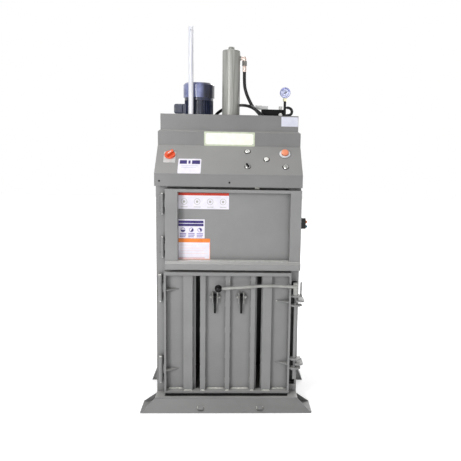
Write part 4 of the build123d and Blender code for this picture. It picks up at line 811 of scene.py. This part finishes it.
def middle_placard():
    """Two violet bands, three round pictures and three blocks of lines."""
    width, height = 0.141, 0.1025
    band_left, band_right = 0.001 - width / 2, width / 2 - 0.006
    bands = ((0.0305, 0.0445), (0.0140, 0.0275))
    picture_pitch = 0.045
    picture_middle = -0.006
    picture_radius = 0.012
    ring_inner, ring_outer = 0.0095, 0.0125
    first_line, line_pitch = -0.026, 0.0085
    line_half_width, line_half_length = 0.0026, 0.017
    last_line_short = 0.004
    fields = [(bar(band_left, low, band_right, high), 1) for low, high in bands]
    for i in range(3):
        x = (i - 1) * picture_pitch
        # Half of each picture is filled, a sixth of a turn further round than the one before
        start = radians(180 + 60 * i)
        fields.append((disc(picture_radius, (x, picture_middle), 16, start, pi), 1))
        fields.append(((x, picture_middle, ring_inner, ring_outer), 3))
        for row in range(3):
            y = first_line - line_pitch * row
            end = x + line_half_length - last_line_short * (row == 2)
            fields.append((bar(x - line_half_length, y - line_half_width, end, y + line_half_width), 3))
    placard(
        "middle_placard", facing_front(-0.1981, feed_panel_face, 0.9745), (width, height),
        ["label_white", "label_violet", "label_grey", "label_lilac"], fields, body="feed_door_body",
    )


def lower_placard():
    """An orange band and border round faint lines, the last of them red."""
    width, height = 0.173, 0.113
    left, right, low, high = -width / 2, width / 2, -height / 2, height / 2
    rim = 0.0025
    under_band = high - 0.021
    first_line, line_pitch, line_half_width = 0.020, 0.015, 0.002
    line_ends = ((0.012, 0.080), (0.012, 0.150), (0.016, 0.140), (0.012, 0.156))
    red_line = bar(left + 0.008, low + 0.007, left + 0.145, low + 0.0085)
    fields = [
        (bar(left, under_band, right, high), 1),
        (bar(left, low, right, low + rim), 1),
        (bar(left, low + rim, left + rim, under_band), 1),
        (bar(right - rim, low + rim, right, under_band), 1),
    ]
    for row, (start, end) in enumerate(line_ends):
        y = first_line - row * line_pitch
        fields.append((bar(left + start, y - line_half_width, left + end, y + line_half_width), 2))
    fields.append((red_line, 3))
    placard(
        "lower_placard", facing_front(-0.1845, feed_panel_face, 0.8655), (width, height),
        ["label_white", "label_orange", "label_pink", "label_red"], fields,
        corner=0.001, body="feed_door_body",
    )


def fascia_plate():
    """A bare cream plate with a sage rim, held by four rivets."""
    width, height = 0.276, 0.0765
    rim = 0.008
    rivet_inset = 0.011
    middle = rounded(width - 2 * rim, height - 2 * rim, 0.003)
    rivets = [
        (across * (width / 2 - rivet_inset), up * (height / 2 - rivet_inset))
        for across in (-1, 1)
        for up in (-1, 1)
    ]
    placard(
        "fascia_plate", facing_front(-0.0005, post_face + fascia_setback, 1.4548), (width, height),
        ["label_sage", "label_cream", "zinc_plated_steel"], [(middle, 1)], corner=0.004, rivets=rivets,
    )


def tier_plate():
    """A bare lavender plate at the right end of the hood's upper tier."""
    width, height = 0.092, 0.051
    placard(
        "tier_plate", facing_front(0.3275, post_face + tier_setback, 1.5535), (width, height),
        ["label_lavender"], corner=0.001,
    )


def panel_placard():
    """Three violet blocks over two faint lines, below the main switch and to its right."""
    width, height = 0.121, 0.112
    first_line, line_pitch, line_half_width = 0.002, 0.014, 0.0025
    line_half_length, second_line_short = 0.044, 0.010
    fields = [
        (bar(0.008 - width / 2, 0.016, -0.015, 0.044), 1),
        (bar(-0.007, 0.018, 0.004, 0.042), 1),
        (bar(0.012, 0.016, width / 2 - 0.006, 0.044), 1),
    ]
    for row in range(2):
        y = first_line - row * line_pitch
        end = line_half_length - second_line_short * row
        fields.append((bar(-line_half_length, y - line_half_width, end, y + line_half_width), 2))
    placard(
        "panel_placard", on_panel(-0.2080, 0.1640), (width, height),
        ["label_white", "label_violet", "label_lavender"], fields, corner=0.006,
    )


for make_placard in (
    upper_placard, middle_placard, lower_placard, fascia_plate, tier_plate, panel_placard,
):
    make_placard()


# Operating panel: places across and down it, the rings set into it, and turns in degrees
start_button_at = (0.098, 0.043)
selector_at = (0.098, 0.161)
white_button_at = (0.199, 0.103)
key_switch_at = (0.300, 0.160)
e_stop_at = (0.300, 0.060)
main_switch_at = (-0.316, 0.085)
bezel_radius = 0.015
bezel_height = 0.005
e_stop_ring_radius = 0.030
e_stop_ring_height = 0.006
selector_turn = 35
switch_grip_turn = 48
print_thickness = 0.0003
print_gap = 0.00005
ring_gap = 0.0002


def control_rise(name):
    """How far a control's top stands off the panel."""
    solid = nodes[name]
    places = [solid.matrix_world @ corner.co for corner in solid.data.vertices]
    return max((place - panel_top).dot(off_panel) for place in places)


def bezel_gaskets_and_shadows():
    """Black rubber gaskets and skirts round the bright bezels, and a thin one at the stop ring; the
    bezels' gaskets and skirts are made wide and tall so that their black also stands as painted shadow
    under the bezels.
    """
    gasket, gasket_height, gasket_edge = 0.0026, 0.0016, 0.0006
    skirt, skirt_top = 0.0010, 0.0038
    stop_gasket = 0.0012

    def draw(bm):
        inner = bezel_radius + ring_gap
        for at in (start_button_at, selector_at, white_button_at, key_switch_at):
            place = on_panel(*at)
            add_ring(
                bm, place, inner, bezel_radius + gasket, 0, gasket_height, count=36, edge=gasket_edge
            )
            add_ring(bm, place, inner, bezel_radius + skirt, gasket_height, skirt_top, count=36)
        add_ring(
            bm, on_panel(*e_stop_at), e_stop_ring_radius + ring_gap, e_stop_ring_radius + stop_gasket,
            0, stop_gasket, count=48,
        )
    put("bezel_gaskets_and_shadows", draw, ["black_phenolic"])


def stop_ring_cover():
    """The pale plastic disc that the stop button stands on."""
    hole, flat, rim = 0.0205, 0.0285, 0.0304
    thickness = 0.0008
    low, top, high = 0.0014, e_stop_ring_height, e_stop_ring_height + thickness
    section = [
        (hole, top), (hole, high), (flat, high), (rim, top - 0.0010),
        (rim + 0.0002, low), (rim - 0.0003, low), (rim - 0.0003, top),
    ]

    def draw(bm):
        add_lathe(bm, on_panel(*e_stop_at), section, 48, closed=True)
    put("stop_ring_cover", draw, ["frosted_nylon"])


def start_button_dot():
    """A grey round in a grey ring, printed in the middle of the start button."""
    dot, ring_inner, ring_outer = 0.0042, 0.0078, 0.0088

    def draw(bm):
        face = on_panel(*start_button_at, lift=control_rise("start_button") + print_gap)
        add_prism(bm, face, disc(dot, count=20), 0, print_thickness)
        add_ring(bm, face, ring_inner, ring_outer, 0, print_thickness, count=28)
    put("start_button_dot", draw, ["mid_grey_nylon"], "start_button_body")


def selector_sides():
    """Pale half rounds on the selector's face, one on each side of its lever."""
    radius, thickness = 0.0096, 0.0004
    face_rise = bezel_height + 0.00105
    lever_half = 32  # degrees that the lever covers on each side of its middle

    def draw(bm):
        face = on_panel(*selector_at, lift=face_rise)
        sweep = radians(180 - 2 * lever_half)
        for side in (0, 1):
            start = radians(selector_turn - 90 + 180 * side + lever_half)
            add_prism(bm, face, disc(radius, count=12, start=start, sweep=sweep), 0, thickness)
    put("selector_sides", draw, ["pale_grey_nylon"], "selector_body")


def switch_grip_highlight():
    """A white line along the main switch's grip: a painted highlight."""
    length, width, corner = 0.0260, 0.0040, 0.0018
    sunk = 0.0002

    def draw(bm):
        top = on_panel(*main_switch_at, lift=control_rise("main_switch"))
        turned = top @ Matrix.Rotation(radians(switch_grip_turn), 4, "Z")
        add_prism(bm, turned, rounded(length, width, corner), -sunk, print_thickness)
    put("switch_grip_highlight", draw, ["white_nylon"], "main_switch_body")


for make_control in (
    bezel_gaskets_and_shadows, stop_ring_cover, start_button_dot, selector_sides, switch_grip_highlight,
):
    make_control()


# Gauge dial: card with a blue band and tick marks, just above the bottom of the case
def gauge_dial():
    """A pale card whose scale runs clockwise over 270 degrees, with a blue band over its top."""
    card_radius, card_depth = 0.0262, 0.006
    card, printed = 0.0004, 0.0006
    band_inner, band_outer = 0.0215, 0.0248
    tick_inner, tick_outer, tick_half = 0.0180, 0.0212, 0.0005
    scale_start, scale_sweep = radians(225), -radians(270)
    band_from, band_to = radians(20), radians(150)
    band_steps, tick_steps = 28, 10
    place = facing_front(gauge_centre.x, gauge_low.y + card_depth, gauge_centre.z)

    def draw(bm):
        add_prism(bm, place, disc(card_radius, count=40), 0, card)
        for i in range(band_steps):
            a, b = (scale_start + scale_sweep * k / band_steps for k in (i, i + 1))
            if a < band_to and b > band_from:
                corners = ((band_inner, a), (band_inner, b), (band_outer, b), (band_outer, a))
                outline = [(radius * cos(angle), radius * sin(angle)) for radius, angle in corners]
                add_prism(bm, place, outline, card, printed, 1)
        for i in range(tick_steps + 1):
            angle = scale_start + scale_sweep * i / tick_steps
            along = Vector((cos(angle), sin(angle)))
            across = Vector((-sin(angle), cos(angle))) * tick_half
            inner, outer = along * tick_inner, along * tick_outer
            corners = (inner - across, inner + across, outer + across, outer - across)
            add_prism(bm, place, [tuple(corner) for corner in corners], card, printed, 2)
    put("gauge_dial", draw, ["dial_card", "printed_blue", "label_ink"])


gauge_dial()


# Screws: pan heads with a round socket
def screw_head(name, place, radius, height, finish):
    """A pan head: a straight skirt, a crown rounded in two steps, and a socket half as wide."""
    skirt, socket_floor = height * 0.45, height * 0.35
    socket = radius / 2
    profile = [
        (0, 0), (radius, 0), (radius, skirt), (radius * 0.86, height * 0.85),
        (radius * 0.6, height), (socket, height), (socket * 0.96, height * 0.4), (0, socket_floor),
    ]

    def draw(bm):
        add_lathe(bm, place, profile, 18)
    put(name, draw, [finish])


for side, x, z in (("left", -0.3620, 1.2310), ("middle", 0.0035, 1.2270)):
    screw_head(
        f"hood_screw_{side}", facing_front(x, hood_front, z),
        radius=0.0048, height=0.0025, finish="black_oxide",
    )
screw_head(
    "panel_lock_screw", on_panel(-0.3072, 0.1722), radius=0.0042, height=0.0012,
    finish="mid_grey_nylon",
)


# Strap clamp bolts
def clamp_bolts():
    """A hexagon nut and a rounded bolt end on each side of each clamp."""
    clamp_centres = (-0.069, 0.074)
    cheek_side = 0.0185
    pin_reach, pin_drop = 0.027, 0.139
    nut_radius, nut_height, nut_edge = 0.0085, 0.0070, 0.0008
    bolt_end = [(0, 0.0069), (0.0045, 0.0069), (0.0045, 0.0095), (0.0030, 0.0110), (0, 0.0114)]

    def draw(bm):
        for centre in clamp_centres:
            for side in (-1, 1):
                place = facing_side(
                    centre + side * cheek_side, post_face - pin_reach, bale_door_top - pin_drop, side
                )
                add_prism(bm, place, disc(nut_radius, count=6), 0, nut_height, edge=nut_edge)
                add_lathe(bm, place, bolt_end, 14)
    put("clamp_bolts", draw, ["zinc_plated_steel"], "bale_door_body", 30)


clamp_bolts()


# Weld beads: half-sunk cords of overlapping ripples
def weld(bm, start, end, width, finish=0):
    """A bead between two places: every second ring swells, and the first and last sixth of its
    length taper off."""
    start, end = Vector(start), Vector(end)
    along = end - start
    turn = along.to_track_quat("Z", "Y").to_matrix()
    ripple_pitch = width * 0.28
    valley = 0.86
    tip = width * 0.05
    count = max(4, int(along.length / ripple_pitch) * 2)
    sides = 8
    rings = []
    for i in range(count + 1):
        t = i / count
        swell = 1 if i % 2 else valley
        taper = min(1, 6 * t, 6 * (1 - t)) ** 0.5
        radius = max(width / 2 * swell * taper, tip)
        rings.append([
            bm.verts.new(start + along * t + turn @ Vector((
                radius * cos(tau * k / sides), radius * sin(tau * k / sides), 0
            )))
            for k in range(sides)
        ])
    faces = [bm.faces.new(rings[0][::-1]), bm.faces.new(rings[-1])]
    for lower, upper in zip(rings, rings[1:]):
        for k in range(sides):
            j = (k + 1) % sides
            faces.append(bm.faces.new((lower[k], lower[j], upper[j], upper[k])))
    for face in faces:
        face.material_index = finish


def level_weld(bm, left, right, y, z, width, finish=0):
    """A level bead across the machine."""
    weld(bm, (left, y, z), (right, y, z), width, finish)


# The door's ribs and the strips of panel between them, from left to right
rib_spans = ((-0.240, -0.190), (-0.149, -0.120), (-0.012, 0.013), (0.125, 0.150), (0.190, 0.240))
bays = ((-0.326, -0.244), (-0.115, -0.018), (0.018, 0.120), (0.246, 0.318))


def door_welds():
    """Stitch welds down the ribs, and chalky beads along the bottom ledge that stand also as the
    ledge's painted highlight.
    """
    painted, chalky = 0, 1
    top_inset, ledge_inset = 0.003, 0.002
    first_stitch, stitch_pitch, stitch, stitches = 0.030, 0.145, 0.035, 5
    top_width, stitch_width, ledge_width, bay_width = 0.006, 0.005, 0.008, 0.010
    ledge_face, bay_face = ribs_low.y - 0.001, door_panel_face - 0.002
    bay_height = ribs_low.z + 0.001

    def draw(bm):
        for left, right in rib_spans:
            level_weld(
                bm, left + top_inset, right - top_inset, ribs_low.y, ribs_high.z, top_width, painted
            )
            # Pale beads under the ribs, also painted highlight on the ledge
            level_weld(
                bm, left + ledge_inset, right - ledge_inset, ledge_face, ribs_low.z, ledge_width, chalky
            )
            for x in (left, right):
                for k in range(stitches):
                    z = ribs_low.z + first_stitch + k * stitch_pitch
                    top = z + stitch
                    weld(bm, (x, door_panel_face, z), (x, door_panel_face, top), stitch_width, painted)
        # Pale beads along the bays' bottoms, also painted highlight on the ledge
        for left, right in bays:
            level_weld(bm, left, right, bay_face, bay_height, bay_width, chalky)
    put("door_welds", draw, ["painted_weld", "chalky_weld"], "bale_door_body")


def gusset_spots():
    """Chalky spots of weld spatter on the bale door's upper right gusset."""
    spots, spot_half, spot_width = (0.268, 0.292, 0.312), 0.004, 0.006
    spot_height = 0.5830
    gusset_face = door_panel_face - 0.006

    def draw(bm):
        for x in spots:
            level_weld(bm, x - spot_half, x + spot_half, gusset_face, spot_height, spot_width)
    put("gusset_spots", draw, ["chalky_weld"], "bale_door_body")


def hinge_welds():
    """Beads between the knuckles' leaves and the left post."""
    leaf_face = post_face - 0.002
    bale_hinges = ((-0.372, -0.346), 0.007, (0.690, 0.625, 0.200, 0.140))
    feed_hinges = ((-0.370, -0.348), 0.006, (1.150, 1.060, 0.900, 0.835))

    def draw(bm):
        for (left, right), width, heights in (bale_hinges, feed_hinges):
            for z in heights:
                level_weld(bm, left, right, leaf_face, z, width)
    put("hinge_welds", draw, ["painted_weld"])


# Dirt, wear and small fittings
thin_edge = 0.0003


def base_shadow_film():
    """A near-black film on the ledge under the bale door, with a ragged front: painted shadow under the
    door.
    """
    ragged = [
        (-0.338, -0.075), (-0.290, -0.078), (-0.180, -0.074), (-0.060, -0.078), (0.050, -0.075),
        (0.170, -0.078), (0.262, -0.074), (0.334, -0.076), (0.338, -0.004), (-0.338, -0.004),
    ]
    thickness = 0.0012

    def draw(bm):
        add_prism(bm, facing_up(0, post_face, base_top), ragged, 0, thickness, edge=thin_edge)
    put("base_shadow_film", draw, ["black_shade_film"])


def recess_shade_lining():
    """A black lining that darkens the hollow post behind its long recess, half a millimetre off its
    walls: painted shade where the recess lies in shadow."""
    left, right, front, back, thin = 0.3325, 0.3835, 0.0050, 0.0555, 0.0010
    bottom, height = 0.095, 0.600
    lining = [
        (left, front), (left, back), (right, back), (right, front),
        (right - thin, front), (right - thin, back - thin),
        (left + thin, back - thin), (left + thin, front),
    ]

    def draw(bm):
        add_prism(bm, facing_up(0, post_face, bottom), lining, 0, height)
    put("recess_shade_lining", draw, ["black_shade_film"])


def interlock_bits():
    """The roller and the cable gland on the feed door's limit switch."""
    roller_section = [
        (0, -0.001), (0.0080, -0.001), (0.0085, 0), (0.0085, 0.006),
        (0.0045, 0.007), (0.0040, 0.010), (0, 0.0105),
    ]
    cable_stub = [(0, 0.004), (0.0062, 0.004), (0.0062, 0.009), (0.0040, 0.0105), (0, 0.011)]
    gland_radius, gland_sunk, gland_height, gland_edge = 0.0090, 0.001, 0.005, 0.0006
    roller_y, roller_z = switch_middle.y - 0.006, switch_high.z - 0.020
    gland_y, gland_z = switch_middle.y - 0.004, switch_low.z + 0.012
    copper, teal = 0, 1

    def draw(bm):
        roller = facing_side(switch_high.x, roller_y, roller_z, 1)
        add_lathe(bm, roller, roller_section, 20, copper)
        gland = facing_side(switch_high.x, gland_y, gland_z, 1)
        add_prism(
            bm, gland, disc(gland_radius, count=6), -gland_sunk, gland_height, teal, gland_edge
        )
        add_lathe(bm, gland, cable_stub, 16, teal)
    put("interlock_bits", draw, ["turned_copper", "teal_nylon"])


def hood_catch():
    """The bright folded tab between the hood's lip and the feed door."""
    middle, half_width = 0.1500, 0.012
    tab_reach, tab_middle, tab_height = 0.030, 1.1985, 0.011
    tab_corner, tab_thickness, tab_edge = 0.002, 0.003, 0.0006
    fold_bottom, fold_thickness = 1.2005, 0.0025

    def draw(bm):
        tab = facing_front(middle, post_face - tab_reach, tab_middle)
        face = rounded(2 * half_width, tab_height, tab_corner)
        add_prism(bm, tab, face, 0, tab_thickness, edge=tab_edge)
        fold = facing_up(middle, post_face - tab_reach, fold_bottom)
        add_prism(bm, fold, bar(-half_width, 0, half_width, tab_reach), 0, fold_thickness)
    put("hood_catch", draw, ["chalky_weld"])


def gauge_nut():
    """The pale brass nut between the gauge's case and its black stem."""
    bore, flat, height, edge = 0.0094, 0.0108, 0.0172, 0.0012
    below_case = 0.0175
    section = [
        (bore + 0.0002, 0), (flat, edge), (flat, height - edge), (flat - 0.0008, height),
        (bore, height), (bore, 0),
    ]

    def draw(bm):
        seat = facing_up(gauge_centre.x, gauge_centre.y, gauge_low.z - below_case)
        add_lathe(bm, seat, section, 6, closed=True)
    put("gauge_nut", draw, ["pale_brass_plate"], smooth=20)


def feed_ledge_rub_and_glints():
    """Paint rubbed pale where bales of card are slid over the feed door's bottom bar, pale enough to be
    its painted highlight as well, and two bright runs near its free end that are painted glints."""
    worn = [
        (-0.330, -0.075), (-0.180, -0.0735), (0.020, -0.075), (0.210, -0.073), (0.383, -0.075),
        (0.383, -0.014), (-0.330, -0.014),
    ]
    rub_thickness = 0.0008
    runs, glint_height, glint_width = (0.337, 0.373), 0.014, 0.006
    bar_top = feed_bottom + feed_bar_height
    glint_face = feed_panel_face - 0.001
    rubbed, bright = 0, 1

    def draw(bm):
        ledge = facing_up(0, post_face, bar_top)
        # Painted highlight: the pale rubbed film along the bar's top
        add_prism(bm, ledge, worn, 0, rub_thickness, rubbed, thin_edge)
        # Painted glints: two chrome beads near the free end
        for x in runs:
            weld(bm, (x, glint_face, bar_top), (x, glint_face, bar_top + glint_height), glint_width, bright)
    put("feed_ledge_rub_and_glints", draw, ["rubbed_lit_ledge", "bezel_chrome"], "feed_door_body")


def foot_tab_highlight_welds():
    """Pale beads where the lashing tabs meet the sloped front of the foot, pale enough to stand also as
    the tabs' painted highlight.
    """
    tab_centres, tab_side = (-0.1385, 0.180), 0.0165
    low_end, high_end = (foot_front + 0.020, 0.0165), (foot_front + 0.033, 0.0265)
    width = 0.005

    def draw(bm):
        for centre in tab_centres:
            for side in (-1, 1):
                x = centre + side * tab_side
                weld(bm, (x, *low_end), (x, *high_end), width)
    put("foot_tab_highlight_welds", draw, ["chalky_weld"])


for make_detail in (
    door_welds, gusset_spots, hinge_welds, base_shadow_film, recess_shade_lining, interlock_bits, hood_catch,
    gauge_nut, feed_ledge_rub_and_glints, foot_tab_highlight_welds,
):
    make_detail()


# Floor and room
def floor():
    """A paper sweep wide enough that no view shows its edge."""
    reach = 14
    corners = [(-reach, -reach, 0), (reach, -reach, 0), (reach, reach, 0), (-reach, reach, 0)]
    mesh = bpy.data.meshes.new("floor")
    mesh.from_pydata(corners, [], [(0, 1, 2, 3)])
    mesh.materials.append(finish_with("white_paper_sweep", floor_paper))
    made = bpy.data.objects.new("floor", mesh)
    scene.collection.objects.link(made)


def room():
    """A pale room, dimmer behind the photographer, and plain white where it is seen directly."""
    room_light = 0.42
    front_glow, back_glow, blend = 0.4, 1.0, 0.6
    world = bpy.data.worlds.new("studio")
    world.use_nodes = True
    tree = world.node_tree
    tree.nodes.clear()
    light = node(tree, "ShaderNodeLightPath")
    where = node(tree, "ShaderNodeTexCoord")
    parts = node(tree, "ShaderNodeSeparateXYZ", links={"Vector": (where, "Generated")})
    backdrop = node(
        tree, "ShaderNodeMapRange",
        {"From Min": -blend, "From Max": blend, "To Min": front_glow, "To Max": back_glow},
        {"Value": (parts, "Y")},
    )
    mirrored = node(
        tree, "ShaderNodeMath", {}, {0: (light, "Is Glossy Ray"), 1: (light, "Is Transmission Ray")},
        operation="MAXIMUM",
    )
    indoors = node(tree, "ShaderNodeMix", {2: room_light}, {0: (mirrored, 0), 3: (backdrop, 0)})
    level = node(tree, "ShaderNodeMix", {3: 1.0}, {0: (light, "Is Camera Ray"), 2: (indoors, 0)})
    glow = node(
        tree, "ShaderNodeBackground", {"Color": (1, 1, 1, 1)}, {"Strength": (level, 0)}
    )
    node(tree, "ShaderNodeOutputWorld", links={"Surface": (glow, 0)})
    scene.world = world


floor()
room()
